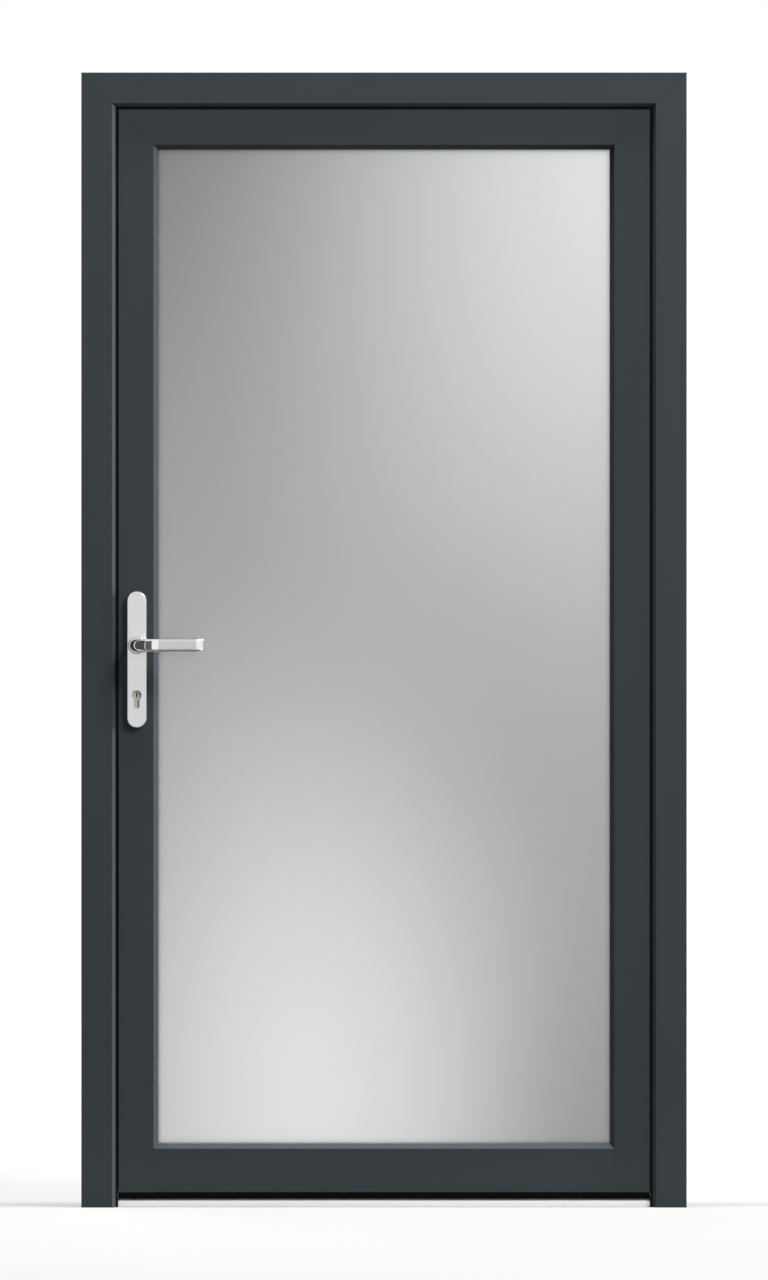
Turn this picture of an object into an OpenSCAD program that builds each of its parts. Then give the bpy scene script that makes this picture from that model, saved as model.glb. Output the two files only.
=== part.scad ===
// Entrance door of thermally broken aluminium profiles, with its frame.
// X runs to the right as seen from outside, Y runs into the house, Z is up.
// The origin is on the floor, at the middle of the width and of the frame's depth.

/* [Door set] */
// Width over the frame
frame_w = 1120; // [900:1:1300]
// Height over the frame
frame_h = 2100; // [1950:1:2400]

/* [Frame profile] */
// Depth of the frame from outside to inside
frame_depth = 70; // [66:1:84]
// Flat face of the frame seen from outside
frame_face_w = 57; // [50:0.5:80]
// Width and depth of the sloping edge of the face
frame_slope = 6; // [3:0.5:9]
// Depth of the outer shell of the frame
frame_outer_d = 28; // [26:1:30]
// Wall of the aluminium shells
wall_t = 2; // [1.6:0.1:2.4]
// Thicker wall that grips the thermal bars
grip_wall_t = 4; // [3.4:0.1:5]
// Broken edge of the profiles' corners
edge_break = 0.6; // [0.3:0.1:1]

/* [Thermal bars] */
// Free width of the bars between the shells
bar_span = 26; // [25:0.5:28]
// Thickness of a bar
bar_t = 2.5; // [2:0.1:3]
// How far a bar reaches into its shell
bar_tongue = 2; // [1:0.1:2.4]
// Depth of the hardware groove beside the outermost bar
groove_d = 3; // [2.5:0.1:4]

/* [Leaf profile] */
// Open joint between frame and leaf
reveal_gap = 5.5; // [4.5:0.1:8]
// How far the leaf's face lies behind the frame's face
leaf_setback = 6; // [3:0.5:8]
// Flat face of the stiles and of the top rail
stile_face_w = 65; // [60:0.5:90]
// Flat face of the bottom rail
bottom_face_h = 81; // [70:0.5:140]
// Width of the sloping edge beside the glass
glazing_slope_w = 8.5; // [5:0.5:10]
// Depth of the sloping edge beside the glass
glazing_slope_d = 10; // [7:0.5:10.5]
// Depth of the lip that holds the glass from outside
glazing_lip_d = 12; // [12:0.5:13]
// Width of the pocket that holds the glass edge
pocket_w = 20; // [18:0.5:23]
// Width of the flange that covers the joint inside
flange_w = 14; // [11:0.5:16]
// Thickness of the flange
flange_t = 3; // [2.5:0.1:4]
// Space for the gasket between the flange and the frame
flange_gap = 3; // [2:0.1:4]
// Height of the leaf's lower edge above the floor
leaf_bottom = 28; // [24:0.5:40]

/* [Glazing] */
// Thickness of one pane
pane_t = 6; // [4:0.5:6]
// Width of the space between the panes
pane_gap = 16; // [14:0.5:18]
// How far the edge of the glass is covered
glass_cover = 15; // [12:0.5:16]
// Thickness of the outer glazing gasket
glazing_gasket_t = 4; // [3:0.1:5]
// Width of the glazing gaskets
glazing_gasket_w = 7; // [5:0.1:9]
// Width of the spacer along the edge of the glass
spacer_w = 11; // [8:0.5:13]
// Length of a glazing block
block_l = 100; // [60:1:140]
// Distance of the glazing blocks from the glass corners
block_inset = 120; // [80:1:200]

/* [Seals] */
// Free play between a seal and the part that moves past it
seal_clear = 0.8; // [0.7:0.1:1.5]
// Play under the bottom seals and beside the flange gasket
wipe_clear = 0.3; // [0.2:0.1:0.6]
// Depth of the rebate gasket
rebate_gasket_d = 6; // [4:0.5:8]
// Width of the flange gasket
flange_gasket_w = 7; // [5:0.5:7]
// Width of a bottom seal
bottom_seal_w = 5; // [4:0.5:6]

/* [Threshold] */
// Height of the threshold
threshold_h = 16; // [12:0.5:20]
// Depth of the threshold's outer rail
threshold_outer_d = 11; // [9:0.5:13]

/* [Hinges] */
// Height of the lowest hinge above the floor
hinge_low = 260; // [200:1:320]
// Distance of the highest hinge below the top of the frame
hinge_drop = 240; // [200:1:320]
// Height of a hinge
hinge_h = 90; // [80:1:110]
// Radius of the hinge barrel
barrel_r = 9; // [8.5:0.1:10]
// Radius of the hinge pin
pin_r = 5; // [4:0.1:5.4]
// Wall of the hinge bush
bush_t = 1.4; // [1:0.1:1.8]
// Radial play of the bush on the pin
pin_clear = 0.05; // [0.02:0.01:0.1]
// Height of the middle knuckle
knuckle_h = 30; // [24:1:36]
// Flange of the bush between the knuckles
bush_flange_t = 0.7; // [0.5:0.1:1.2]
// Thickness of the hinge wings
wing_t = 4; // [3:0.1:5]
// Width of the hinge wings
wing_w = 38; // [32:1:40]

/* [Screws] */
// Shank radius of the hardware screws
screw_r = 2.2; // [2:0.1:2.4]
// Head radius of the hardware screws
screw_head_r = 4.2; // [3.8:0.1:4.6]
// Length of the hardware screws
screw_l = 18; // [14:1:20]
// Play round a screw
screw_clear = 0.1; // [0.05:0.01:0.2]

/* [Wall fixing] */
// Radius of the fixing holes in the jambs
fixing_r = 4; // [3:0.1:5]
// Distance of the outer fixing holes from the floor and the head
fixing_edge = 200; // [150:1:220]
// Distance between the inner fixing holes
fixing_mid = 600; // [400:1:900]

/* [Handle] */
// Height of the spindle above the floor
spindle_z = 1040; // [1000:1:1080]
// Distance of the spindle from the leaf's edge
backset = 34; // [33:0.5:35]
// Distance of the cylinder below the spindle
cylinder_drop = 92; // [90:0.5:94]
// Width of the handle plates
plate_w = 36; // [34:0.5:40]
// Height of the handle plates
plate_h = 252; // [248:1:262]
// Part of the plate below the cylinder
plate_below = 60; // [58:0.5:64]
// Thickness of a handle plate
plate_t = 9; // [8:0.5:11]
// Bevelled edge of a handle plate
plate_bevel = 1.2; // [0.8:0.1:2.4]
// Wall of a handle plate
plate_wall = 2.5; // [2:0.1:3]
// Radius of the raised collar round the lever's neck
collar_r = 16; // [14:0.5:17]
// Height of the collar
collar_h = 3; // [2:0.5:5]
// Radius of the lever's bearing in the plate
journal_r = 9; // [8:0.5:10]
// Radial play of that bearing
journal_clear = 0.05; // [0.02:0.01:0.1]
// Radius of the lever's neck
neck_r = 12.5; // [12.3:0.1:14]
// Height of the lever's strap
strap_h = 24; // [20:0.5:24]
// Thickness of the lever's strap
strap_t = 11; // [9:0.5:13]
// Bevelled edge of the strap
strap_bevel = 2.5; // [1:0.5:4]
// Distance of the strap's middle from the leaf
lever_reach = 52; // [46:0.5:60]
// Bend between neck and grip
lever_bend_r = 36; // [30:0.5:37]
// Length of the lever from the spindle
lever_l = 128; // [110:1:145]
// Bend at the lever's tip
tip_r = 14; // [10:0.5:16]
// Angle of the bend at the tip
tip_angle = 80; // [60:1:90]
// Side of the square spindle
spindle_s = 8; // [7:0.5:10]
// Depth of the spindle in a lever, from the leaf
spindle_in = 30; // [24:1:34]
// Radius of the screws through both plates
plate_screw_r = 3; // [2.5:0.1:3.2]

/* [Lock] */
// Thickness of the lock case
case_t = 16; // [15:0.5:20]
// Depth of the lock case behind the faceplate
case_d = 47.5; // [47:0.5:48.5]
// Sheet of the lock case
case_wall = 1.5; // [1:0.1:1.8]
// Top of the case above the spindle
case_above = 44; // [43:0.5:48]
// Bottom of the case below the cylinder
case_below = 36; // [32:1:38]
// Width of faceplate and strike plate
faceplate_w = 24; // [20:0.5:24.5]
// How far the faceplate runs past the case
faceplate_over = 26; // [20:1:32]
// Height of the latch bolt's middle above the spindle
latch_up = 30; // [29:0.5:32]
// Height of the latch bolt
latch_h = 20; // [18:0.5:20]
// Thickness of latch bolt and dead bolt
bolt_t = 12; // [10:0.5:12]
// How far the latch bolt stands out of the leaf
latch_out = 14; // [12:0.5:15]
// Travel of the latch bolt
latch_travel = 13; // [11:0.5:13]
// Height of the dead bolt's middle below the spindle
deadbolt_down = 48; // [46:0.5:50]
// Height of the dead bolt
deadbolt_h = 34; // [28:0.5:36]
// Travel of the dead bolt
deadbolt_travel = 20; // [15:0.5:20]
// Length of the dead bolt that stays in the case
deadbolt_guide = 26; // [20:0.5:27]
// Running play of the lock's moving pieces
lock_clear = 0.3; // [0.2:0.05:0.4]
// Radius of the follower
follower_r = 10; // [8.5:0.5:11]
// Reach of the follower's arm
follower_arm = 18; // [17:0.5:19]
// Rest angle of the arm from upright
arm_rest = 20; // [18:0.5:22]
// Wire of the latch spring
spring_wire = 1; // [0.8:0.1:1.1]

/* [Profile cylinder] */
// Radius of the round part of the cylinder
cylinder_r = 8.5; // [8:0.1:9]
// Width of the web below it
cylinder_web = 10; // [9:0.1:10.5]
// Height over both
cylinder_h = 33; // [31:0.5:35]
// How far the ends of the cylinder lie below the faces of the plates
cylinder_recess = 3; // [1:0.1:4]
// Radius of a plug
plug_r = 6.5; // [6:0.1:6.8]
// Radial play of a plug
plug_clear = 0.05; // [0.02:0.01:0.1]
// Reach of the cam's nose
cam_r = 14; // [12:0.1:14.2]
// Width of the gap for the cam
cam_gap = 10; // [8:0.5:11]
// Width of the keyway
keyway_w = 2.4; // [2:0.1:3]
// Height of the keyway
keyway_h = 8; // [7:0.1:9]

/* [Hidden] */
$fn = 48;

paint = "#383d40";
silver = "#d9dadc";
steel = "#c4c6c9";
rubber = "#141516";
plastic = "#2a2a2b";
cleat_grey = "#9c9ea1";
glass = "#b4b6b8";
beyond = 400;   // longer than any cut that it makes
nib = 1;        // how far a cut runs past the surface it opens

// Planes across the depth
half_w = frame_w / 2;
face_y = -frame_depth / 2;
back_y = frame_depth / 2;
zone_y0 = face_y + frame_outer_d;
zone_y1 = zone_y0 + bar_span;
leaf_y0 = face_y + leaf_setback;
leaf_y1 = back_y + flange_gap + flange_t;
lip_y = leaf_y0 + glazing_lip_d;
glass_y0 = lip_y + glazing_gasket_t;
spacer_y0 = glass_y0 + pane_t;
spacer_y1 = spacer_y0 + pane_gap;
glass_y1 = spacer_y1 + pane_t;
bead_y0 = max(zone_y1, glass_y1 + glazing_gasket_t / 2);

// Planes across the width and the height
frame_edge = frame_face_w + frame_slope;
leaf_inset = frame_edge + reveal_gap;
leaf_x = half_w - leaf_inset;
leaf_top = frame_h - leaf_inset;
stile_lip = stile_face_w + glazing_slope_w;
stile_pocket = stile_lip - pocket_w;
rail_lip = bottom_face_h + glazing_slope_w;
rail_pocket = rail_lip - pocket_w;
glass_x = leaf_x - stile_lip + glass_cover;
glass_z0 = leaf_bottom + rail_lip - glass_cover;
glass_z1 = leaf_top - stile_lip + glass_cover;
bar_wall = 3;   // aluminium between a bar's slot and the side of its shell
frame_bars = [bar_wall, frame_edge - groove_d - bar_t];
stile_bars = [groove_d, stile_pocket - bar_wall - bar_t];
rail_bars = [groove_d, rail_pocket - bar_wall - bar_t];

// Lock, handle and cylinder
spindle_x = -leaf_x + backset;
cylinder_z = spindle_z - cylinder_drop;
lock_y = (zone_y0 + zone_y1) / 2;
case_y0 = lock_y - case_t / 2;
case_y1 = lock_y + case_t / 2;
case_x0 = -leaf_x + groove_d;
case_x1 = case_x0 + case_d;
case_z0 = cylinder_z - case_below;
case_z1 = spindle_z + case_above;
latch_z = spindle_z + latch_up;
deadbolt_z = spindle_z - deadbolt_down;
plate_end_r = plate_w / 2;
plate_z0 = cylinder_z - plate_below;
plate_z1 = plate_z0 + plate_h;
plate_screw_z = [max(plate_z1 - plate_end_r, case_z1 + plate_screw_r + case_wall), plate_z0 + plate_end_r];
cylinder_y0 = leaf_y0 - plate_t + cylinder_recess;
cylinder_y1 = leaf_y1 + plate_t - cylinder_recess;
cam_bridge = cam_r + 3 * lock_clear;   // top of the web that joins the halves of the cylinder
cylinder_foot = cylinder_h - cylinder_r;
cylinder_screw_z = cylinder_z - (cam_bridge + cylinder_foot) / 2;
spindle_hole_r = spindle_s * sqrt(2) / 2 + 4;
arm_half_w = 3;

// Hinge axis, clear of the flange on the leaf and of the face of the frame
flange_edge_x = leaf_x + flange_w;
axis_gap = 2;
axis_x = flange_edge_x + axis_gap + barrel_r;
axis_y = leaf_y1 + barrel_r;
hinge_top = frame_h - hinge_drop;
hinge_heights = [hinge_low, (hinge_low + hinge_top) / 2, hinge_top];
wing_inset = 2.5;
wing_screw_z = [-0.38, -0.13, 0.13, 0.38] * hinge_h;
frame_screw_x = axis_x + barrel_r + (wing_w - barrel_r) / 2;
leaf_screw_x = flange_edge_x - wing_inset - wing_w / 2;

// Fixing holes and plate screws along the height
fixing_heights = [
    fixing_edge,
    (frame_h - fixing_mid) / 2,
    (frame_h + fixing_mid) / 2,
    frame_h - fixing_edge
];
fixing_y = (zone_y1 + back_y) / 2;
faceplate_z0 = case_z0 - faceplate_over;
faceplate_z1 = case_z1 + faceplate_over;
strike_z0 = deadbolt_z - deadbolt_h / 2 - faceplate_over;
strike_z1 = latch_z + latch_h / 2 + faceplate_over;

// A flat outline in X and Z, given thickness from y0 to y1
module y_prism(y0, y1) {
    translate([0, y1, 0]) rotate([90, 0, 0]) linear_extrude(y1 - y0) children();
}

// A round bar along Y
module y_rod(r, y0, y1) {
    translate([0, y0, 0]) rotate([-90, 0, 0]) cylinder(r = r, h = y1 - y0);
}

// A round bar along X
module x_rod(r, x0, x1) {
    translate([x0, 0, 0]) rotate([0, 90, 0]) cylinder(r = r, h = x1 - x0);
}

// A box between two corners
module block(low, high) {
    translate(low) cube(high - low);
}

// A piece and its mirror image on the other side of the door
module both_sides() {
    children();
    mirror([1, 0, 0]) children();
}

// Slots that hold the tongues of the thermal bars, at the places given
module bar_slots(places, y, towards) {
    for (at = places)
        translate([at, towards < 0 ? y - bar_tongue : y - nib]) square([bar_t, bar_tongue + nib]);
}

// Sections of the frame, with X measured from the outer edge of the frame
module frame_outer_section() {
    corner = wall_t * tan(22.5);
    difference() {
        polygon([
            [edge_break, face_y], [frame_face_w, face_y], [frame_edge, face_y + frame_slope],
            [frame_edge, zone_y0], [0, zone_y0], [0, face_y + edge_break]
        ]);
        polygon([
            [wall_t, face_y + wall_t], [frame_face_w - corner, face_y + wall_t],
            [frame_edge - wall_t, face_y + frame_slope + corner],
            [frame_edge - wall_t, zone_y0 - grip_wall_t], [wall_t, zone_y0 - grip_wall_t]
        ]);
        bar_slots(frame_bars, zone_y0, -1);
    }
}

module frame_inner_section() {
    difference() {
        polygon([
            [0, zone_y1], [frame_edge, zone_y1], [frame_edge, back_y - edge_break],
            [frame_edge - edge_break, back_y], [edge_break, back_y], [0, back_y - edge_break]
        ]);
        translate([wall_t, zone_y1 + grip_wall_t])
            square([frame_edge - 2 * wall_t, back_y - zone_y1 - grip_wall_t - wall_t]);
        bar_slots(frame_bars, zone_y1, 1);
    }
}

module bar_section(places) {
    for (at = places)
        translate([at, zone_y0 - bar_tongue]) square([bar_t, bar_span + 2 * bar_tongue]);
}

// Sections of the leaf, with X measured from the edge of the leaf
module leaf_outer_section(face, bars) {
    lip = face + glazing_slope_w;
    pocket = lip - pocket_w;
    lip_wall = wall_t + edge_break;
    difference() {
        polygon([
            [edge_break, leaf_y0], [face, leaf_y0], [lip, leaf_y0 + glazing_slope_d], [lip, lip_y],
            [pocket, lip_y], [pocket, zone_y0], [0, zone_y0], [0, leaf_y0 + edge_break]
        ]);
        polygon([
            [wall_t, leaf_y0 + wall_t], [pocket - wall_t, leaf_y0 + wall_t],
            [pocket - wall_t, zone_y0 - grip_wall_t], [wall_t, zone_y0 - grip_wall_t]
        ]);
        polygon([
            [pocket, leaf_y0 + wall_t], [face - edge_break, leaf_y0 + wall_t],
            [lip - lip_wall, leaf_y0 + glazing_slope_d - edge_break],
            [lip - lip_wall, lip_y - wall_t], [pocket, lip_y - wall_t]
        ]);
        bar_slots(bars, zone_y0, -1);
    }
}

module leaf_inner_section(face, bars, flange) {
    pocket = face + glazing_slope_w - pocket_w;
    difference() {
        polygon([
            [0, zone_y1], [pocket, zone_y1], [pocket, leaf_y1], [edge_break - flange, leaf_y1],
            [-flange, leaf_y1 - edge_break], [-flange, leaf_y1 - flange_t], [0, leaf_y1 - flange_t]
        ]);
        translate([wall_t, zone_y1 + grip_wall_t])
            square([pocket - 2 * wall_t, leaf_y1 - zone_y1 - grip_wall_t - wall_t]);
        bar_slots(bars, zone_y1, 1);
    }
}

module bead_section(face) {
    lip = face + glazing_slope_w;
    pocket = lip - pocket_w;
    slope = glazing_slope_w;
    difference() {
        polygon([
            [pocket, bead_y0], [lip, bead_y0], [lip, leaf_y1 - slope], [lip - slope, leaf_y1],
            [pocket, leaf_y1]
        ]);
        polygon([
            [pocket + wall_t, bead_y0 + wall_t], [lip - wall_t, bead_y0 + wall_t],
            [lip - wall_t, leaf_y1 - slope - edge_break], [lip - slope - edge_break, leaf_y1 - wall_t],
            [pocket + wall_t, leaf_y1 - wall_t]
        ]);
    }
}

// The frame's section run up the lock jamb, or along the head, cut at the mitre and short of it by the play
module jamb(play = 0) {
    reach = frame_edge + nib;
    intersection() {
        translate([-half_w, 0, 0]) linear_extrude(frame_h) children();
        y_prism(-beyond, beyond) polygon([
            [-half_w, 0], [-half_w + reach, 0],
            [-half_w + reach, frame_h - reach - play], [-half_w, frame_h - play]
        ]);
    }
}

module head() {
    reach = frame_edge + nib;
    intersection() {
        translate([-half_w, 0, frame_h]) rotate([0, 90, 0]) linear_extrude(frame_w) children();
        y_prism(-beyond, beyond) polygon([
            [-half_w, frame_h], [half_w, frame_h],
            [half_w - reach, frame_h - reach], [-half_w + reach, frame_h - reach]
        ]);
    }
}

// The leaf's section run up the lock stile: mitred at the top, and notched for the bottom rail's face
module stile(play = 0) {
    out = flange_w + nib;
    reach = stile_lip + nib;
    foot = leaf_bottom + bottom_face_h;
    intersection() {
        translate([-leaf_x, 0, leaf_bottom]) linear_extrude(leaf_top + out - leaf_bottom) children();
        y_prism(-beyond, beyond) polygon([
            [-leaf_x - out, leaf_bottom], [-leaf_x + stile_face_w, leaf_bottom],
            [-leaf_x + stile_face_w, foot], [-leaf_x + reach, foot + reach - stile_face_w],
            [-leaf_x + reach, leaf_top - reach - play], [-leaf_x - out, leaf_top + out - play]
        ]);
    }
}

module top_rail() {
    out = flange_w + nib;
    reach = stile_lip + nib;
    intersection() {
        translate([-leaf_x - out, 0, leaf_top]) rotate([0, 90, 0])
            linear_extrude(2 * (leaf_x + out)) children();
        y_prism(-beyond, beyond) polygon([
            [-leaf_x - out, leaf_top + out], [leaf_x + out, leaf_top + out],
            [leaf_x - reach, leaf_top - reach], [-leaf_x + reach, leaf_top - reach]
        ]);
    }
}

// The bottom rail stands between the stiles: its body runs to their pockets, its face to their faces
module bottom_rail() {
    reach = stile_lip + nib;
    foot = leaf_bottom + bottom_face_h;
    body_x = leaf_x - stile_pocket;
    face_x = leaf_x - stile_face_w;
    intersection() {
        translate([leaf_x, 0, leaf_bottom]) rotate([0, -90, 0]) linear_extrude(2 * leaf_x) children();
        union() {
            block([-body_x, lip_y, 0], [body_x, beyond, beyond]);
            y_prism(-beyond, lip_y) polygon([
                [-face_x, 0], [face_x, 0], [face_x, foot], [leaf_x - reach, foot + reach - stile_face_w],
                [-leaf_x + reach, foot + reach - stile_face_w], [-face_x, foot]
            ]);
        }
    }
}

// Frame members
module fixing_holes() {
    for (z = fixing_heights) translate([0, fixing_y, z]) x_rod(fixing_r, -half_w - nib, -half_w + beyond);
}

module hinge_screw_holes(x, y) {
    for (at = hinge_heights, z = wing_screw_z)
        translate([x, 0, at + z]) y_rod(screw_r + screw_clear, y - screw_l - nib, y + nib);
}

module frame_head_outer() {
    color(paint) head() frame_outer_section();
}

module frame_head_inner() {
    color(paint) head() frame_inner_section();
}

module frame_lock_jamb_outer() {
    color(paint) jamb() frame_outer_section();
}

module frame_lock_jamb_inner() {
    color(paint) difference() {
        jamb() frame_inner_section();
        fixing_holes();
    }
}

module frame_hinge_jamb_outer() {
    color(paint) mirror([1, 0, 0]) jamb() frame_outer_section();
}

module frame_hinge_jamb_inner() {
    color(paint) difference() {
        mirror([1, 0, 0]) jamb() frame_inner_section();
        mirror([1, 0, 0]) fixing_holes();
        hinge_screw_holes(frame_screw_x, back_y);
    }
}

// Holes in the bars behind the strike plate, for the bolts and for the screws that hold the plate
module keeper_pockets(x0, x1) {
    for (b = [[latch_z, latch_h], [deadbolt_z, deadbolt_h]])
        block([x0, lock_y - bolt_t / 2 - nib, b[0] - b[1] / 2 - nib],
              [x1, lock_y + bolt_t / 2 + nib, b[0] + b[1] / 2 + nib]);
}

module strike_screw_places() {
    for (z = [strike_z0 + faceplate_over / 2, strike_z1 - faceplate_over / 2])
        translate([-half_w + frame_edge, lock_y, z]) children();
}

module frame_thermal_bars() {
    color(plastic) {
        head() bar_section(frame_bars);
        mirror([1, 0, 0]) jamb(screw_clear) bar_section(frame_bars);
        difference() {
            jamb(screw_clear) bar_section(frame_bars);
            keeper_pockets(-half_w + frame_edge / 2, -half_w + frame_edge);
            strike_screw_places() x_rod(screw_r + screw_clear, -screw_l - nib, nib);
        }
    }
}

// Angle that joins two mitred profiles, seated in a chamber whose outer corner lies at the point given
module corner_angle(corner, y0, y1, leg, thick) {
    play = lock_clear;
    x = corner[0] + play;
    z = corner[1] - play;
    y_prism(y0 + play, y1 - play) polygon([
        [x, z], [x + leg, z], [x + leg, z - thick], [x + thick, z - thick], [x + thick, z - leg], [x, z - leg]
    ]);
}

cleat_leg = 100;
cleat_t = 16;

module frame_corner_cleats() {
    corner = [-half_w + wall_t, frame_h - wall_t];
    color(cleat_grey) both_sides() {
        corner_angle(corner, face_y + wall_t, zone_y0 - grip_wall_t, cleat_leg, cleat_t);
        corner_angle(corner, zone_y1 + grip_wall_t, back_y - wall_t, cleat_leg, cleat_t);
    }
}

module frame_rebate_gasket() {
    y0 = leaf_y0 + flange_t;
    y1 = y0 + rebate_gasket_d;
    inner_x = half_w - frame_edge - reveal_gap + seal_clear;
    outer_x = half_w - frame_edge;
    color(rubber) y_prism(y0, y1) polygon([
        [-outer_x, 0], [-inner_x, 0], [-inner_x, frame_h - half_w + inner_x],
        [inner_x, frame_h - half_w + inner_x], [inner_x, 0], [outer_x, 0],
        [outer_x, frame_h - frame_edge], [-outer_x, frame_h - frame_edge]
    ]);
}

// Threshold, between the jambs
threshold_x = half_w - frame_edge;
threshold_y0 = zone_y0 - threshold_outer_d;

module threshold_outer() {
    slope = threshold_h / 4;
    color(silver) translate([-threshold_x, 0, 0]) rotate([90, 0, 90]) linear_extrude(2 * threshold_x)
        difference() {
            polygon([
                [threshold_y0, 0], [zone_y0, 0], [zone_y0, threshold_h],
                [threshold_y0 + slope, threshold_h], [threshold_y0, threshold_h - slope]
            ]);
            translate([threshold_y0 + wall_t, wall_t])
                square([threshold_outer_d - 2 * wall_t, threshold_h - slope - 2 * wall_t]);
        }
}

module threshold_core() {
    color(plastic) difference() {
        block([-threshold_x, zone_y0, 0], [threshold_x, zone_y1, threshold_h]);
        block([-threshold_x - nib, zone_y0 + bar_wall, bar_wall],
              [threshold_x + nib, zone_y1 - bar_wall, threshold_h - bar_wall]);
    }
}

module threshold_inner() {
    color(silver) difference() {
        block([-threshold_x, zone_y1, 0], [threshold_x, back_y, threshold_h]);
        block([-threshold_x - nib, zone_y1 + wall_t, wall_t],
              [threshold_x + nib, back_y - wall_t, threshold_h - wall_t]);
    }
}

// A countersunk hardware screw along +Z, its head flush at the origin
module hardware_screw(grow = 0) {
    cone = screw_head_r - screw_r;
    translate([0, 0, -screw_l]) cylinder(r = screw_r + grow, h = screw_l - cone / 2);
    translate([0, 0, -cone - grow]) cylinder(r1 = screw_r, r2 = screw_head_r + grow, h = cone + grow);
}

module strike_plate() {
    x1 = -half_w + frame_edge;
    x0 = x1 - groove_d;
    color(steel) difference() {
        block([x0, lock_y - faceplate_w / 2, strike_z0], [x1, lock_y + faceplate_w / 2, strike_z1]);
        keeper_pockets(x0 - nib, x1 + nib);
        strike_screw_places() {
            rotate([0, 90, 0]) hardware_screw(screw_clear);
            x_rod(screw_head_r + screw_clear, 0, nib);
        }
    }
}

module frame_screws() {
    color(steel) {
        strike_screw_places() rotate([0, 90, 0]) hardware_screw();
        for (at = hinge_heights, z = wing_screw_z)
            translate([frame_screw_x, back_y + wing_t, at + z]) rotate([-90, 0, 0]) hardware_screw();
    }
}

// Hinges: the frame's wing has two knuckles, the leaf's wing the one between them
module knuckle(z0, z1) {
    translate([axis_x, axis_y, z0]) cylinder(r = barrel_r, h = z1 - z0);
}

module wing_screw_sinks(x, y) {
    for (z = wing_screw_z) translate([x, y, z]) {
        rotate([-90, 0, 0]) hardware_screw(screw_clear);
        y_rod(screw_head_r + screw_clear, 0, nib);
    }
}

module hinge_frame_wing(at) {
    gap = knuckle_h / 2 + bush_flange_t + lock_clear;
    color(paint) translate([0, 0, at]) difference() {
        union() {
            block([axis_x - barrel_r, back_y, -hinge_h / 2], [axis_x + wing_w, back_y + wing_t, hinge_h / 2]);
            for (z0 = [-hinge_h / 2, gap]) {
                z1 = z0 + hinge_h / 2 - gap;
                knuckle(z0, z1);
                block([axis_x - barrel_r, back_y, z0], [axis_x + barrel_r, axis_y, z1]);
            }
        }
        translate([axis_x, axis_y, -hinge_h]) cylinder(r = pin_r, h = 2 * hinge_h);
        wing_screw_sinks(frame_screw_x, back_y + wing_t);
    }
}

module hinge_frame_wing_bottom() { hinge_frame_wing(hinge_heights[0]); }
module hinge_frame_wing_middle() { hinge_frame_wing(hinge_heights[1]); }
module hinge_frame_wing_top() { hinge_frame_wing(hinge_heights[2]); }

module hinge_pins() {
    cap_h = 3;
    color(paint) for (at = hinge_heights) translate([axis_x, axis_y, at - hinge_h / 2]) {
        cylinder(r = pin_r, h = hinge_h);
        translate([0, 0, hinge_h]) cylinder(r1 = barrel_r, r2 = barrel_r - edge_break, h = cap_h);
        translate([0, 0, -cap_h]) cylinder(r1 = barrel_r - edge_break, r2 = barrel_r, h = cap_h);
    }
}

module hinge_leaf_wing(at) {
    plate_x1 = flange_edge_x - wing_inset;
    color(paint) translate([0, 0, at]) difference() {
        union() {
            block([plate_x1 - wing_w, leaf_y1, -hinge_h / 2], [plate_x1, leaf_y1 + wing_t, hinge_h / 2]);
            knuckle(-knuckle_h / 2, knuckle_h / 2);
            block([plate_x1 - nib, leaf_y1, -knuckle_h / 2], [axis_x, leaf_y1 + wing_t, knuckle_h / 2]);
        }
        translate([axis_x, axis_y, -hinge_h]) cylinder(r = pin_r + pin_clear + bush_t, h = 2 * hinge_h);
        wing_screw_sinks(leaf_screw_x, leaf_y1 + wing_t);
    }
}

module hinge_leaf_wing_bottom() { hinge_leaf_wing(hinge_heights[0]); }
module hinge_leaf_wing_middle() { hinge_leaf_wing(hinge_heights[1]); }
module hinge_leaf_wing_top() { hinge_leaf_wing(hinge_heights[2]); }

module half_bush() {
    bore = pin_r + pin_clear;
    difference() {
        union() {
            translate([0, 0, screw_clear]) cylinder(r = bore + bush_t, h = knuckle_h / 2);
            translate([0, 0, knuckle_h / 2]) cylinder(r = barrel_r, h = bush_flange_t);
        }
        translate([0, 0, -nib]) cylinder(r = bore, h = hinge_h);
    }
}

module hinge_bushes() {
    color(plastic) for (at = hinge_heights) translate([axis_x, axis_y, at]) {
        half_bush();
        mirror([0, 0, 1]) half_bush();
    }
}

// Leaf members
module cylinder_outline(grow = 0) {
    web = cylinder_web / 2 + grow;
    low = cylinder_foot - cylinder_web / 2;
    circle(r = cylinder_r + grow);
    translate([-web, -low]) square([2 * web, low]);
    translate([0, -low]) circle(r = web);
}

module lock_through_cuts() {
    cut_grow = 0.8;
    translate([spindle_x, 0, spindle_z]) y_rod(spindle_hole_r, -beyond, beyond);
    translate([spindle_x, 0, cylinder_z]) y_prism(-beyond, beyond) cylinder_outline(cut_grow);
    for (z = plate_screw_z)
        translate([spindle_x, 0, z]) y_rod(plate_screw_r + 5 * screw_clear, -beyond, beyond);
}

module faceplate_screw_places() {
    for (z = [faceplate_z0 + faceplate_over / 2, faceplate_z1 - faceplate_over / 2])
        translate([-leaf_x, lock_y, z]) children();
}

module leaf_lock_stile_outer() {
    color(paint) difference() {
        stile() leaf_outer_section(stile_face_w, stile_bars);
        lock_through_cuts();
    }
}

module leaf_lock_stile_inner() {
    color(paint) difference() {
        stile() leaf_inner_section(stile_face_w, stile_bars, flange_w);
        lock_through_cuts();
    }
}

module leaf_hinge_stile_outer() {
    color(paint) mirror([1, 0, 0]) stile() leaf_outer_section(stile_face_w, stile_bars);
}

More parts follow.
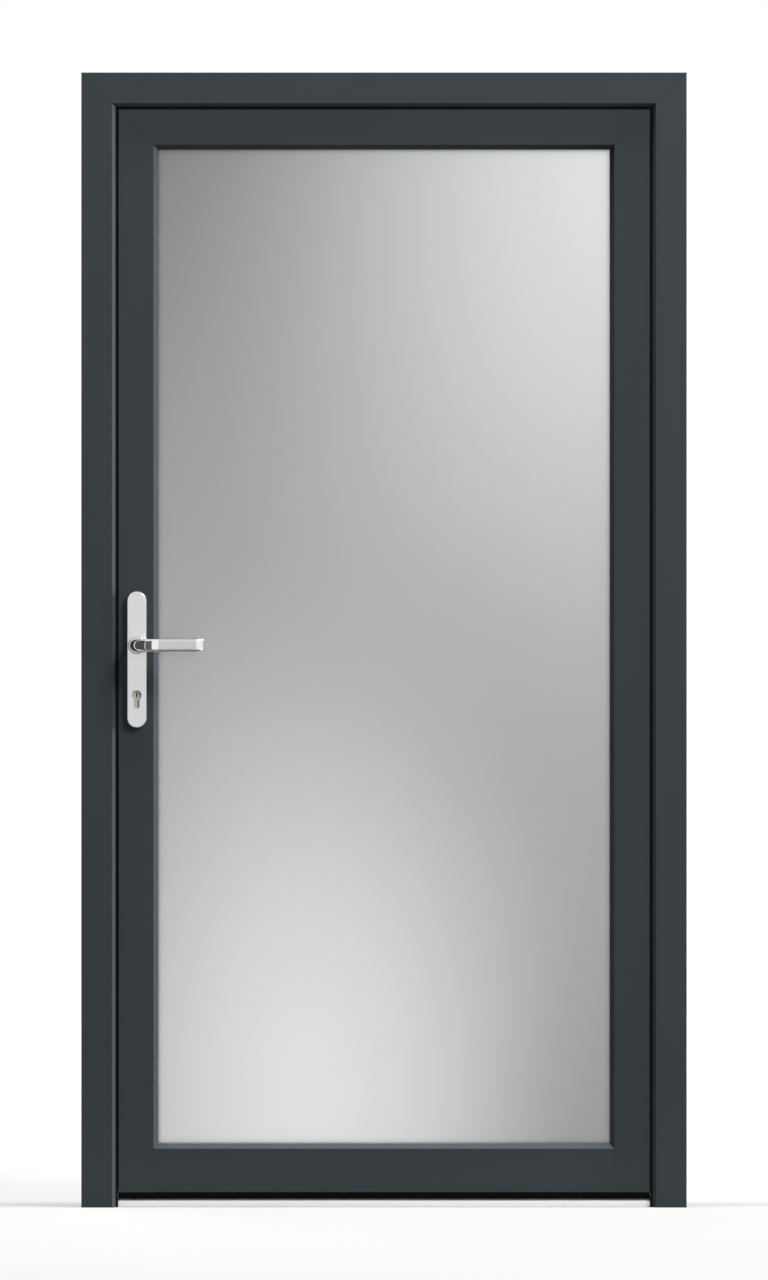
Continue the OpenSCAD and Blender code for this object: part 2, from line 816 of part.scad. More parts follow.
module leaf_hinge_stile_inner() {
    color(paint) difference() {
        mirror([1, 0, 0]) stile() leaf_inner_section(stile_face_w, stile_bars, flange_w);
        hinge_screw_holes(leaf_screw_x, leaf_y1);
    }
}

module leaf_top_rail_outer() {
    color(paint) top_rail() leaf_outer_section(stile_face_w, stile_bars);
}

module leaf_top_rail_inner() {
    color(paint) top_rail() leaf_inner_section(stile_face_w, stile_bars, flange_w);
}

module leaf_bottom_rail_outer() {
    color(paint) bottom_rail() leaf_outer_section(bottom_face_h, rail_bars);
}

module leaf_bottom_rail_inner() {
    color(paint) bottom_rail() leaf_inner_section(bottom_face_h, rail_bars, 0);
}

module leaf_thermal_bars() {
    color(plastic) {
        top_rail() bar_section(stile_bars);
        bottom_rail() bar_section(rail_bars);
        mirror([1, 0, 0]) stile(screw_clear) bar_section(stile_bars);
        difference() {
            stile(screw_clear) bar_section(stile_bars);
            block([-leaf_x - nib, -beyond, case_z0 - lock_clear],
                  [case_x1 + lock_clear, beyond, case_z1 + lock_clear]);
            faceplate_screw_places() x_rod(screw_r + screw_clear, -nib, screw_l + nib);
        }
    }
}

module leaf_corner_cleats() {
    corner = [-leaf_x + wall_t, leaf_top - wall_t];
    play = lock_clear;
    x0 = -leaf_x + stile_pocket;
    z0 = leaf_bottom + wall_t + play;
    color(cleat_grey) both_sides() for (y = [
        [leaf_y0 + wall_t, zone_y0 - grip_wall_t],
        [zone_y1 + grip_wall_t, leaf_y1 - wall_t]
    ]) {
        corner_angle(corner, y[0], y[1], cleat_leg, cleat_t);
        block([max(x0, -leaf_x + (y[0] < 0 ? stile_face_w : stile_pocket)) + play, y[0] + play, z0],
              [x0 + cleat_leg, y[1] - play, z0 + 2 * cleat_t]);
    }
}

module leaf_flange_gasket() {
    x1 = leaf_x + flange_w - edge_break;
    x0 = x1 - flange_gasket_w;
    z1 = leaf_top + flange_w - edge_break;
    z0 = z1 - flange_gasket_w;
    color(rubber) y_prism(back_y + wipe_clear, leaf_y1 - flange_t) polygon([
        [-x1, leaf_bottom], [-x0, leaf_bottom], [-x0, z0], [x0, z0], [x0, leaf_bottom], [x1, leaf_bottom],
        [x1, z1], [-x1, z1]
    ]);
}

module leaf_bottom_seals() {
    seal_x = leaf_x + 2 * seal_clear;
    color(rubber) for (y = [zone_y0 - grip_wall_t - bottom_seal_w, zone_y1 + grip_wall_t])
        block([-seal_x, y, threshold_h + wipe_clear], [seal_x, y + bottom_seal_w, leaf_bottom]);
}

// Glass unit
module pane(y0) {
    block([-glass_x, y0, glass_z0], [glass_x, y0 + pane_t, glass_z1]);
}

// A band round the glass unit: out is how far its outer edge lies inside the edge of the glass
module glass_band(y0, y1, out, width) {
    difference() {
        block([out - glass_x, y0, glass_z0 + out], [glass_x - out, y1, glass_z1 - out]);
        block([out + width - glass_x, y0 - nib, glass_z0 + out + width],
              [glass_x - out - width, y1 + nib, glass_z1 - out - width]);
    }
}

module outer_pane() {
    color(glass) pane(glass_y0);
}

module inner_pane() {
    color(glass) pane(spacer_y1);
}

module pane_spacer() {
    color(plastic) glass_band(spacer_y0, spacer_y1, 0, spacer_w);
}

module outer_glazing_gasket() {
    color(rubber) glass_band(lip_y, glass_y0, glass_cover - glazing_gasket_w, glazing_gasket_w);
}

module inner_glazing_gasket() {
    color(rubber) glass_band(glass_y1, bead_y0, glass_cover - glazing_gasket_w, glazing_gasket_w);
}

module glazing_blocks() {
    height = pocket_w - glass_cover;
    mid_z = [glass_z0 + block_inset, glass_z1 - block_inset - block_l];
    color(plastic) both_sides() {
        block([-glass_x + block_inset, glass_y0, glass_z0 - height],
              [-glass_x + block_inset + block_l, glass_y1, glass_z0]);
        for (z = mid_z) block([-glass_x - height, glass_y0, z], [-glass_x, glass_y1, z + block_l]);
    }
}

module bead_top() {
    color(paint) top_rail() bead_section(stile_face_w);
}

// The lower bead and the side beads meet at a mitre of their own
module bead_side() {
    low = leaf_bottom + rail_pocket;
    reach = pocket_w + nib;
    x0 = -leaf_x + stile_pocket;
    intersection() {
        stile_bead_run();
        y_prism(-beyond, beyond) polygon([
            [x0, low], [x0 + reach, low + reach],
            [x0 + reach, leaf_top - stile_pocket - reach], [x0, leaf_top - stile_pocket]
        ]);
    }
}

module stile_bead_run() {
    translate([-leaf_x, 0, leaf_bottom]) linear_extrude(leaf_top - leaf_bottom) bead_section(stile_face_w);
}

module bead_bottom() {
    low = leaf_bottom + rail_pocket;
    reach = pocket_w + nib;
    x0 = leaf_x - stile_pocket;
    color(paint) intersection() {
        translate([leaf_x, 0, leaf_bottom]) rotate([0, -90, 0]) linear_extrude(2 * leaf_x)
            bead_section(bottom_face_h);
        y_prism(-beyond, beyond) polygon([
            [-x0, low], [x0, low], [x0 - reach, low + reach], [-x0 + reach, low + reach]
        ]);
    }
}

module bead_lock_side() {
    color(paint) bead_side();
}

module bead_hinge_side() {
    color(paint) mirror([1, 0, 0]) bead_side();
}

// Lock
module leaf_screws() {
    color(steel) {
        faceplate_screw_places() rotate([0, -90, 0]) hardware_screw();
        for (at = hinge_heights, z = wing_screw_z)
            translate([leaf_screw_x, leaf_y1 + wing_t, at + z]) rotate([-90, 0, 0]) hardware_screw();
        translate([-leaf_x, lock_y, cylinder_screw_z]) x_rod(screw_r, 0, backset + cylinder_web / 4);
    }
}

module bolt_openings(x0, x1, play) {
    for (b = [[latch_z, latch_h], [deadbolt_z, deadbolt_h]])
        block([x0, lock_y - bolt_t / 2 - play, b[0] - b[1] / 2 - play],
              [x1, lock_y + bolt_t / 2 + play, b[0] + b[1] / 2 + play]);
}

follower_x = spindle_x;
leg_gap = 0.5;
leg_z = spindle_z + (follower_r + follower_arm) / 2;
leg_x = follower_x - (leg_z - spindle_z) * tan(arm_rest) + arm_half_w / cos(arm_rest) + leg_gap;
stop_t = 1.6;
stop_x = leg_x - stop_t - 4 * lock_clear;
head_x = stop_x - latch_travel - lock_clear;
tail_r = 3.3;
spring_bore_r = 4.8;
spring_x0 = -leaf_x + groove_d;

module lock_case() {
    inner_y0 = case_y0 + case_wall;
    inner_y1 = case_y1 - case_wall;
    color(steel) difference() {
        union() {
            difference() {
                block([case_x0, case_y0, case_z0], [case_x1, case_y1, case_z1]);
                block([case_x0 + case_wall, inner_y0, case_z0 + case_wall],
                      [case_x1 - case_wall, inner_y1, case_z1 - case_wall]);
            }
            block([stop_x, case_y0, latch_z - latch_h / 2],
                  [stop_x + stop_t, case_y1, latch_z + latch_h / 2]);
        }
        bolt_openings(case_x0 - nib, case_x0 + case_wall + nib, lock_clear);
        translate([0, lock_y, latch_z]) x_rod(tail_r + lock_clear, stop_x - nib, stop_x + stop_t + nib);
        translate([0, lock_y, cylinder_screw_z])
            x_rod(screw_r + screw_clear, case_x0 - nib, case_x0 + 2 * nib);
        translate([spindle_x, 0, spindle_z]) y_rod(follower_r - nib, case_y0 - nib, case_y1 + nib);
        translate([spindle_x, 0, cylinder_z])
            y_prism(case_y0 - nib, case_y1 + nib) cylinder_outline(lock_clear);
    }
}

module faceplate() {
    color(steel) difference() {
        block([-leaf_x, lock_y - faceplate_w / 2, faceplate_z0],
              [case_x0, lock_y + faceplate_w / 2, faceplate_z1]);
        bolt_openings(-leaf_x - nib, case_x0 + nib, lock_clear);
        translate([-leaf_x, lock_y, cylinder_screw_z]) x_rod(screw_r + screw_clear, -nib, groove_d + nib);
        faceplate_screw_places() {
            rotate([0, -90, 0]) hardware_screw(screw_clear);
            x_rod(screw_head_r + screw_clear, -nib, 0);
        }
    }
}

module cylinder_body() {
    gap = cam_gap / 2;
    color(steel) translate([spindle_x, 0, cylinder_z]) difference() {
        y_prism(cylinder_y0, cylinder_y1) cylinder_outline();
        y_rod(plug_r + plug_clear, cylinder_y0 - nib, cylinder_y1 + nib);
        block([-beyond, lock_y - gap, -cam_bridge], [beyond, lock_y + gap, beyond]);
        translate([0, lock_y, cylinder_screw_z - cylinder_z])
            x_rod(screw_r + screw_clear, -beyond, cylinder_web / 4 + screw_clear);
    }
}

// A plug with its keyway: y runs from the face of the plug to the cam
module plug(y0, y1, face) {
    depth = (y1 - y0) * 0.7;
    slot_y0 = face < 0 ? y0 - nib : y1 - depth;
    difference() {
        y_rod(plug_r, y0, y1);
        block([-keyway_w / 2, slot_y0, -keyway_h / 2], [keyway_w / 2, slot_y0 + depth + nib, keyway_h / 2]);
    }
}

module outer_plug() {
    gap = cam_gap / 2 - lock_clear;
    nose_w = cylinder_web / 2 + nib;
    color(silver) translate([spindle_x, 0, cylinder_z]) {
        plug(cylinder_y0, lock_y, -1);
        difference() {
            union() {
                y_rod(cylinder_r - lock_clear, lock_y - gap, lock_y + gap);
                block([-nose_w / 2, lock_y - gap, -cam_r], [nose_w / 2, lock_y + gap, 0]);
            }
            y_rod(plug_r - nib, lock_y, lock_y + cam_gap);
        }
    }
}

module inner_plug() {
    color(silver) translate([spindle_x, 0, cylinder_z])
        plug(lock_y + cam_gap / 2 - lock_clear + screw_clear, cylinder_y1, 1);
}

module lock_follower() {
    trunnion_r = follower_r - nib - journal_clear;
    socket = spindle_s / 2 + journal_clear;
    color(steel) translate([spindle_x, 0, spindle_z]) difference() {
        union() {
            y_rod(trunnion_r, case_y0, case_y1);
            y_rod(follower_r, case_y0 + case_wall + lock_clear, case_y1 - case_wall - lock_clear);
            rotate([0, -arm_rest, 0])
                block([-arm_half_w, lock_y - bolt_t / 4, 0], [arm_half_w, lock_y + bolt_t / 4, follower_arm]);
        }
        block([-socket, case_y0 - nib, -socket], [socket, case_y1 + nib, socket]);
    }
}

module latch_bolt() {
    low = lock_y - bolt_t / 2;
    high = lock_y + bolt_t / 2;
    tip_x = -leaf_x - latch_out;
    leg_t = 2.8;
    color(steel) {
        difference() {
            translate([0, 0, latch_z - latch_h / 2]) linear_extrude(latch_h) polygon([
                [tip_x, high], [tip_x, high - bolt_t / 4], [-leaf_x, low], [head_x, low], [head_x, high]
            ]);
            translate([0, lock_y, latch_z]) x_rod(spring_bore_r, spring_x0, head_x + nib);
        }
        translate([0, lock_y, latch_z]) x_rod(tail_r, spring_x0 - nib, leg_x + nib);
        block([leg_x, lock_y - bolt_t / 4, leg_z], [leg_x + leg_t, lock_y + bolt_t / 4, latch_z + tail_r]);
    }
}

// The latch spring: a wire wound round the tail of the latch bolt
function ring_on_coil(k, steps, turns, length, r, sides) = [
    for (s = [0 : sides - 1])
        let (
            turn = 360 * turns * k / steps,
            a = 360 * s / sides,
            out = r + spring_wire / 2 * cos(a)
        )
        [length * k / steps + spring_wire / 2 * sin(a), out * cos(turn), out * sin(turn)]
];

module latch_spring() {
    turns = 7;
    sides = 8;
    steps = turns * 14;
    x0 = spring_x0 + spring_wire / 2 + screw_clear;
    length = stop_x - spring_wire / 2 - screw_clear - x0;
    r = (tail_r + spring_bore_r) / 2;
    points = [for (k = [0 : steps]) each ring_on_coil(k, steps, turns, length, r, sides)];
    walls = [
        for (k = [0 : steps - 1], s = [0 : sides - 1])
            let (t = (s + 1) % sides)
            [k * sides + s, k * sides + t, (k + 1) * sides + t, (k + 1) * sides + s]
    ];
    ends = [
        [for (s = [sides - 1 : -1 : 0]) s],
        [for (s = [0 : sides - 1]) steps * sides + s]
    ];
    color(steel) translate([x0, lock_y, latch_z]) polyhedron(points, concat(walls, ends), convexity = 10);
}

module dead_bolt() {
    front = -leaf_x + leg_gap;
    back = front + deadbolt_travel + deadbolt_guide;
    color(steel) block(
        [front, lock_y - bolt_t / 2, deadbolt_z - deadbolt_h / 2],
        [back, lock_y + bolt_t / 2, deadbolt_z + deadbolt_h / 2]
    );
}

// Handles, drawn with Y running away from the leaf and the spindle at the origin
module outside_of_leaf() {
    translate([spindle_x, leaf_y0, spindle_z]) mirror([0, 1, 0]) children();
}

module inside_of_leaf() {
    translate([spindle_x, leaf_y1, spindle_z]) children();
}

// A plate with round ends from y0 to y1, narrowing by the bevel at its outer face
module round_ended(r, top, bottom, y0, y1, bevel) {
    flat_y = y1 - bevel;
    for (z = [top - r, bottom + r]) translate([0, 0, z]) {
        y_rod(r, y0, flat_y);
        if (bevel > 0)
            translate([0, flat_y, 0]) rotate([-90, 0, 0]) cylinder(r1 = r, r2 = r - bevel, h = bevel);
    }
    translate([0, 0, bottom + r]) linear_extrude(top - bottom - 2 * r)
        polygon([[-r, y0], [r, y0], [r, flat_y], [r - bevel, y1], [bevel - r, y1], [-r, flat_y]]);
}

module handle_plate(screw_hole_depth) {
    top = plate_z1 - spindle_z;
    bottom = plate_z0 - spindle_z;
    inset = plate_wall;
    floor_y = plate_t - plate_wall;
    screw_boss_r = plate_screw_head_r + plate_wall;
    difference() {
        union() {
            difference() {
                round_ended(plate_end_r, top, bottom, 0, plate_t, plate_bevel);
                round_ended(plate_end_r - inset, top - inset, bottom + inset, -nib, floor_y, 0);
            }
            y_rod(journal_r + plate_wall, 0, plate_t);
            y_rod(collar_r, plate_t - nib, plate_t + collar_h);
            for (z = plate_screw_z) translate([0, 0, z - spindle_z]) y_rod(screw_boss_r, 0, floor_y + nib);
        }
        y_rod(journal_r + journal_clear, -nib, plate_t + collar_h + nib);
        translate([0, 0, -cylinder_drop]) y_prism(-nib, plate_t + nib) cylinder_outline(lock_clear);
        for (z = plate_screw_z)
            translate([0, 0, z - spindle_z]) y_rod(plate_screw_r + screw_clear, -nib, screw_hole_depth);
    }
}

plate_screw_head_r = 2 * plate_screw_r;
plate_screw_head_t = 3;
blind = plate_t - plate_wall;

module outer_handle_plate() {
    color(steel) outside_of_leaf() handle_plate(blind);
}

module inner_handle_plate() {
    color(steel) inside_of_leaf() difference() {
        handle_plate(plate_t + nib);
        for (z = plate_screw_z) translate([0, 0, z - spindle_z])
            y_rod(plate_screw_head_r + screw_clear, plate_t - plate_screw_head_t, plate_t + nib);
    }
}

module plate_screws() {
    head_y = leaf_y1 + plate_t;
    slot = 1.2;
    color(steel) for (z = plate_screw_z) translate([spindle_x, 0, z]) difference() {
        union() {
            y_rod(plate_screw_r, leaf_y0 - blind + screw_clear, head_y - plate_screw_head_t);
            y_rod(plate_screw_head_r, head_y - plate_screw_head_t, head_y);
        }
        block([-plate_screw_head_r, head_y - slot, -slot / 2], [plate_screw_head_r, head_y + nib, slot / 2]);
    }
}

// Section of the lever's strap: thickness along X, height along Y
module strap_section() {
    x = strap_t / 2;
    y = strap_h / 2;
    b = strap_bevel;
    polygon([
        [x, b - y], [x, y - b], [x - b, y], [b - x, y], [-x, y - b], [-x, b - y], [b - x, -y], [x - b, -y]
    ]);
}

module lever() {
    collar_top = plate_t + collar_h;
    bend_y = lever_reach - lever_bend_r;
    grip_x1 = lever_l - tip_r * sin(tip_angle) - strap_t / 2 * sin(tip_angle);
    socket = spindle_s / 2 + journal_clear;
    difference() {
        union() {
            y_rod(journal_r, plate_wall, collar_top + lock_clear);
            y_rod(neck_r, collar_top + lock_clear, bend_y);
            translate([lever_bend_r, bend_y, 0]) rotate([0, 0, 90])
                rotate_extrude(angle = 90) translate([lever_bend_r, 0]) strap_section();
            translate([lever_bend_r, lever_reach, 0]) rotate([90, 0, 90])
                linear_extrude(grip_x1 - lever_bend_r) strap_section();
            translate([grip_x1, lever_reach - tip_r, 0]) rotate([0, 0, 90 - tip_angle])
                rotate_extrude(angle = tip_angle) translate([tip_r, 0]) strap_section();
        }
        block([-socket, -nib, -socket], [socket, spindle_in + screw_clear, socket]);
    }
}

module outer_lever() {
    color(steel) outside_of_leaf() lever();
}

module inner_lever() {
    color(steel) inside_of_leaf() lever();
}

module spindle() {
    half = spindle_s / 2;
    color(silver) translate([spindle_x, 0, spindle_z])
        block([-half, leaf_y0 - spindle_in, -half], [half, leaf_y1 + spindle_in, half]);
}

frame_head_outer();
frame_head_inner();
frame_lock_jamb_outer();
frame_lock_jamb_inner();
frame_hinge_jamb_outer();
frame_hinge_jamb_inner();
frame_thermal_bars();
frame_corner_cleats();
frame_rebate_gasket();
threshold_outer();
threshold_core();
threshold_inner();
strike_plate();
frame_screws();
hinge_frame_wing_bottom();
hinge_frame_wing_middle();
hinge_frame_wing_top();
hinge_pins();
leaf_lock_stile_outer();
leaf_lock_stile_inner();
leaf_hinge_stile_outer();
leaf_hinge_stile_inner();
leaf_top_rail_outer();
leaf_top_rail_inner();
leaf_bottom_rail_outer();
leaf_bottom_rail_inner();
leaf_thermal_bars();
leaf_corner_cleats();
leaf_flange_gasket();
leaf_bottom_seals();
outer_pane();
inner_pane();
pane_spacer();
glazing_blocks();
outer_glazing_gasket();
inner_glazing_gasket();
bead_top();
bead_bottom();
bead_lock_side();
bead_hinge_side();
hinge_leaf_wing_bottom();
hinge_leaf_wing_middle();
hinge_leaf_wing_top();
hinge_bushes();
leaf_screws();
lock_case();
faceplate();
cylinder_body();
outer_handle_plate();
inner_handle_plate();
plate_screws();
outer_lever();
inner_lever();
spindle();
lock_follower();
latch_bolt();
latch_spring();
dead_bolt();
outer_plug();
inner_plug();
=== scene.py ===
import math

import bmesh
import bpy
from mathutils import Matrix, Vector


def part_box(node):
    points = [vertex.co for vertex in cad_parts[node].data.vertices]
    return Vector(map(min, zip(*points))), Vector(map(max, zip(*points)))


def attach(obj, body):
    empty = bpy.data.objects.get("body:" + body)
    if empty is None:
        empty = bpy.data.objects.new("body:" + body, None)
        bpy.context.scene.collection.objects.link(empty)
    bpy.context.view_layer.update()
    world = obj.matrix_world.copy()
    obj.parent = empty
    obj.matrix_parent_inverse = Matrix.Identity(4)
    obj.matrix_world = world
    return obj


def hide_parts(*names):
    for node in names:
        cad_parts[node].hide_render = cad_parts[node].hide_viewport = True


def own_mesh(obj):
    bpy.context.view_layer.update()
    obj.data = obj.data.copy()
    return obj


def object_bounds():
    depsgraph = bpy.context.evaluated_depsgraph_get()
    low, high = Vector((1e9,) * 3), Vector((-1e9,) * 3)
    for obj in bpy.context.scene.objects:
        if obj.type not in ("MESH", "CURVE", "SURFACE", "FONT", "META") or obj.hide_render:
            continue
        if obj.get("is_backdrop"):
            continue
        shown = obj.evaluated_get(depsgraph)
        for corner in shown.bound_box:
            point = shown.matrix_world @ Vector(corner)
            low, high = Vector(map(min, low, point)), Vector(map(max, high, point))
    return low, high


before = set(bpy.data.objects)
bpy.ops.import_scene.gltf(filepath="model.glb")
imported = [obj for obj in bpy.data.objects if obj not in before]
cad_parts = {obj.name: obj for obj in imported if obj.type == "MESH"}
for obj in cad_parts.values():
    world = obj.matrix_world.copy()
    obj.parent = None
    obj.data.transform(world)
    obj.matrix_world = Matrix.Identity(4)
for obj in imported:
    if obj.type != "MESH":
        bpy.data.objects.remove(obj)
cad_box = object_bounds()


# Frame jambs and head: extruded aluminium shells in pairs, mitred at the top corners and crimped on cleats.
# They are powder coated in matt anthracite, a baked coat with a fine grain that rounds every edge a little.
def finish_material(name, colour, roughness, metallic=0.0):
    material = bpy.data.materials.new(name)
    material.use_nodes = True
    shader = material.node_tree.nodes["Principled BSDF"]
    shader.inputs["Base Color"].default_value = (*colour, 1)
    shader.inputs["Roughness"].default_value = roughness
    shader.inputs["Metallic"].default_value = metallic
    return material, material.node_tree, shader


def finish_group(name, inputs, outputs):
    group = bpy.data.node_groups.new(name, "ShaderNodeTree")
    for label, kind, value in inputs:
        socket = group.interface.new_socket(label, in_out="INPUT", socket_type=kind)
        if value is not None:
            socket.default_value = value
    for label in outputs:
        group.interface.new_socket(label, in_out="OUTPUT", socket_type="NodeSocketFloat")
    return group, group.nodes.new("NodeGroupInput"), group.nodes.new("NodeGroupOutput")


def object_point(tree, stretch=(1, 1, 1), shift=(0, 0, 0)):
    place = tree.nodes.new("ShaderNodeTexCoord")
    mapping = tree.nodes.new("ShaderNodeMapping")
    mapping.inputs["Scale"].default_value = stretch
    mapping.inputs["Location"].default_value = shift
    tree.links.new(place.outputs["Object"], mapping.inputs["Vector"])
    return mapping.outputs["Vector"]


def mottle(tree, vector, scale, detail=3.0):
    noise = tree.nodes.new("ShaderNodeTexNoise")
    noise.inputs["Scale"].default_value = scale
    noise.inputs["Detail"].default_value = detail
    tree.links.new(vector, noise.inputs["Vector"])
    return noise.outputs["Fac"]


def spread(tree, value, low, high, at=(0.3, 0.7)):
    ranged = tree.nodes.new("ShaderNodeMapRange")
    ranged.inputs["From Min"].default_value, ranged.inputs["From Max"].default_value = at
    ranged.inputs["To Min"].default_value, ranged.inputs["To Max"].default_value = low, high
    tree.links.new(value, ranged.inputs["Value"])
    return ranged.outputs["Result"]


def blend_colours(tree, factor, first, second):
    mix = tree.nodes.new("ShaderNodeMix")
    mix.data_type = "RGBA"
    mix.inputs["A"].default_value = (*first, 1)
    mix.inputs["B"].default_value = (*second, 1)
    tree.links.new(factor, mix.inputs["Factor"])
    return mix.outputs["Result"]


def relief(tree, height, strength, distance):
    bump = tree.nodes.new("ShaderNodeBump")
    bump.inputs["Strength"].default_value = strength
    bump.inputs["Distance"].default_value = distance
    tree.links.new(height, bump.inputs["Height"])
    tree.links.new(bump.outputs["Normal"], tree.nodes["Principled BSDF"].inputs["Normal"])


def dressed(names, material, edge=0.0):
    for name in names:
        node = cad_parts[name]
        node.data.materials.clear()
        node.data.materials.append(material)
        if edge:
            weld = node.modifiers.new("joined corners", "WELD")
            weld.merge_threshold = 0.00001
            flats = node.modifiers.new("whole faces", "DECIMATE")
            flats.decimate_type = "DISSOLVE"
            flats.angle_limit = math.radians(0.5)
            rounding = node.modifiers.new("rounded edges", "BEVEL")
            rounding.width = edge
            rounding.segments = 2
            rounding.limit_method = "ANGLE"
            rounding.angle_limit = math.radians(28)
            rounding.use_clamp_overlap = True
            rounding.harden_normals = True


coat_grain, grain_in, grain_out = finish_group(
    "coat grain", [("Grain", "NodeSocketFloat", 900.0)], ("Shade", "Sheen Break", "Height")
)
grain_point = object_point(coat_grain)
orange_peel = coat_grain.nodes.new("ShaderNodeTexNoise")
orange_peel.inputs["Detail"].default_value = 4.0
coat_grain.links.new(grain_point, orange_peel.inputs["Vector"])
coat_grain.links.new(grain_in.outputs["Grain"], orange_peel.inputs["Scale"])
coat_grain.links.new(orange_peel.outputs["Fac"], grain_out.inputs["Height"])
coat_grain.links.new(mottle(coat_grain, grain_point, 5.0), grain_out.inputs["Shade"])
coat_flow = mottle(coat_grain, grain_point, 40.0)
coat_grain.links.new(spread(coat_grain, coat_flow, 0.5, 0.6), grain_out.inputs["Sheen Break"])


def coated_metal(name, dark, light, grain, depth, gloss):
    coat, tree, shader = finish_material(name, light, 0.55)
    shader.inputs["Specular IOR Level"].default_value = gloss
    surface = tree.nodes.new("ShaderNodeGroup")
    surface.node_tree = coat_grain
    surface.inputs["Grain"].default_value = grain
    tree.links.new(blend_colours(tree, surface.outputs["Shade"], dark, light), shader.inputs["Base Color"])
    tree.links.new(surface.outputs["Sheen Break"], shader.inputs["Roughness"])
    relief(tree, surface.outputs["Height"], *depth)
    return coat


anthracite = coated_metal(
    "anthracite_coat", (0.0232, 0.0291, 0.033), (0.026, 0.0323, 0.0365), 900.0, (0.25, 0.0002), 0.14
)
coat_edge = 0.0004
shells = ("outer", "inner")
frame_members = [f"frame_{member}_{shell}" for member in ("head", "lock_jamb", "hinge_jamb") for shell in shells]
dressed(frame_members, anthracite, edge=coat_edge)


# Thermal bars: black glass-filled polyamide strips rolled into grooves, which join the outer and inner shells
# of the frame and of the leaf. The same plastic makes the threshold core, the hinge bushes and glazing blocks.
polyamide, polyamide_tree, polyamide_shader = finish_material("black_polyamide", (0.02, 0.02, 0.021), 0.55)
fibre = mottle(polyamide_tree, object_point(polyamide_tree, (220, 220, 40)), 6.0, 4.0)
fibre_colour = blend_colours(polyamide_tree, fibre, (0.014, 0.014, 0.015), (0.03, 0.03, 0.031))
polyamide_tree.links.new(fibre_colour, polyamide_shader.inputs["Base Color"])
relief(polyamide_tree, fibre, 0.2, 0.0002)
dressed(["frame_thermal_bars", "leaf_thermal_bars", "threshold_core", "hinge_bushes", "glazing_blocks"], polyamide)


# Corner cleats: mill-finish aluminium angles, cut from an extrusion, glued and crimped into the profile
# chambers, where they hold the mitred corners of frame and leaf together.
cleat_metal, cleat_tree, cleat_shader = finish_material("mill_aluminium", (0.5, 0.51, 0.52), 0.42, 1.0)
saw_marks = mottle(cleat_tree, object_point(cleat_tree, (900, 60, 900)), 1.0)
cleat_tree.links.new(spread(cleat_tree, saw_marks, 0.34, 0.52), cleat_shader.inputs["Roughness"])
relief(cleat_tree, saw_marks, 0.15, 0.0002)
dressed(["frame_corner_cleats", "leaf_corner_cleats"], cleat_metal)


# Seals: black EPDM strips, extruded and pushed into grooves of the profiles. They run round the rebate, round
# the flange of the leaf and on both sides of the glass.
seal_rubber, seal_tree, seal_shader = finish_material("black_seal_rubber", (0.005, 0.005, 0.005), 0.7)
seal_shader.inputs["Specular IOR Level"].default_value = 0.1
seal_dust = mottle(seal_tree, object_point(seal_tree), 60.0)
dust_share = spread(seal_tree, seal_dust, 0, 1)
dust_colour = blend_colours(seal_tree, dust_share, (0.003, 0.003, 0.003), (0.007, 0.007, 0.007))
seal_tree.links.new(dust_colour, seal_shader.inputs["Base Color"])
seal_tree.links.new(spread(seal_tree, seal_dust, 0.62, 0.8), seal_shader.inputs["Roughness"])
relief(seal_tree, mottle(seal_tree, object_point(seal_tree), 700.0), 0.2, 0.0001)
dressed(["frame_rebate_gasket", "leaf_flange_gasket", "outer_glazing_gasket", "inner_glazing_gasket"], seal_rubber)


# Bottom seals: two black EPDM wiper strips in grooves under the leaf. Each has a solid back, a lip that bends
# towards the outside over the threshold, and a small ear at both ends that closes the corner to the jamb.
def piece_from(form, name, material, smooth=False):
    mesh = bpy.data.meshes.new(name)
    form.to_mesh(mesh)
    form.free()
    if smooth:
        mesh.shade_smooth()
    mesh.materials.append(material)
    piece = bpy.data.objects.new(name, mesh)
    bpy.context.scene.collection.objects.link(piece)
    return piece


groove_low, groove_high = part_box("leaf_bottom_seals")
wiper_half, wiper_gap = 0.0025, 0.0008
wiper_end = groove_high.x - wiper_gap
ear_thick, ear_high, ear_lap = 0.0007, 0.004, 0.0001
wiper_section = (
    (wiper_half, 0), (wiper_half, -0.0045), (0.0012, -0.0068), (-0.0006, -0.0102), (-0.0014, -0.0117),
    (-wiper_half, -0.0117), (-0.0022, -0.0094), (-0.0012, -0.0068), (-wiper_half, -0.0045), (-wiper_half, 0),
)
wiper_form = bmesh.new()
for back in (groove_low.y + wiper_half, groove_high.y - wiper_half):
    outline = [wiper_form.verts.new((-wiper_end, back + y, groove_high.z + z)) for y, z in wiper_section]
    strip = bmesh.ops.extrude_face_region(wiper_form, geom=[wiper_form.faces.new(outline)])
    far_end = [vert for vert in strip["geom"] if isinstance(vert, bmesh.types.BMVert)]
    bmesh.ops.translate(wiper_form, verts=far_end, vec=(2 * wiper_end, 0, 0))
    for side in (-1, 1):
        ear = bmesh.ops.create_cube(wiper_form, size=1)["verts"]
        bmesh.ops.scale(wiper_form, vec=(ear_thick, 2 * wiper_half, ear_high), verts=ear)
        ear_middle = (side * (wiper_end - ear_thick / 2), back, groove_high.z - ear_lap + ear_high / 2)
        bmesh.ops.translate(wiper_form, verts=ear, vec=ear_middle)
bmesh.ops.recalc_face_normals(wiper_form, faces=wiper_form.faces)
wipers = piece_from(wiper_form, "bottom_wiper_seals", seal_rubber)
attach(wipers, "leaf")
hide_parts("leaf_bottom_seals")


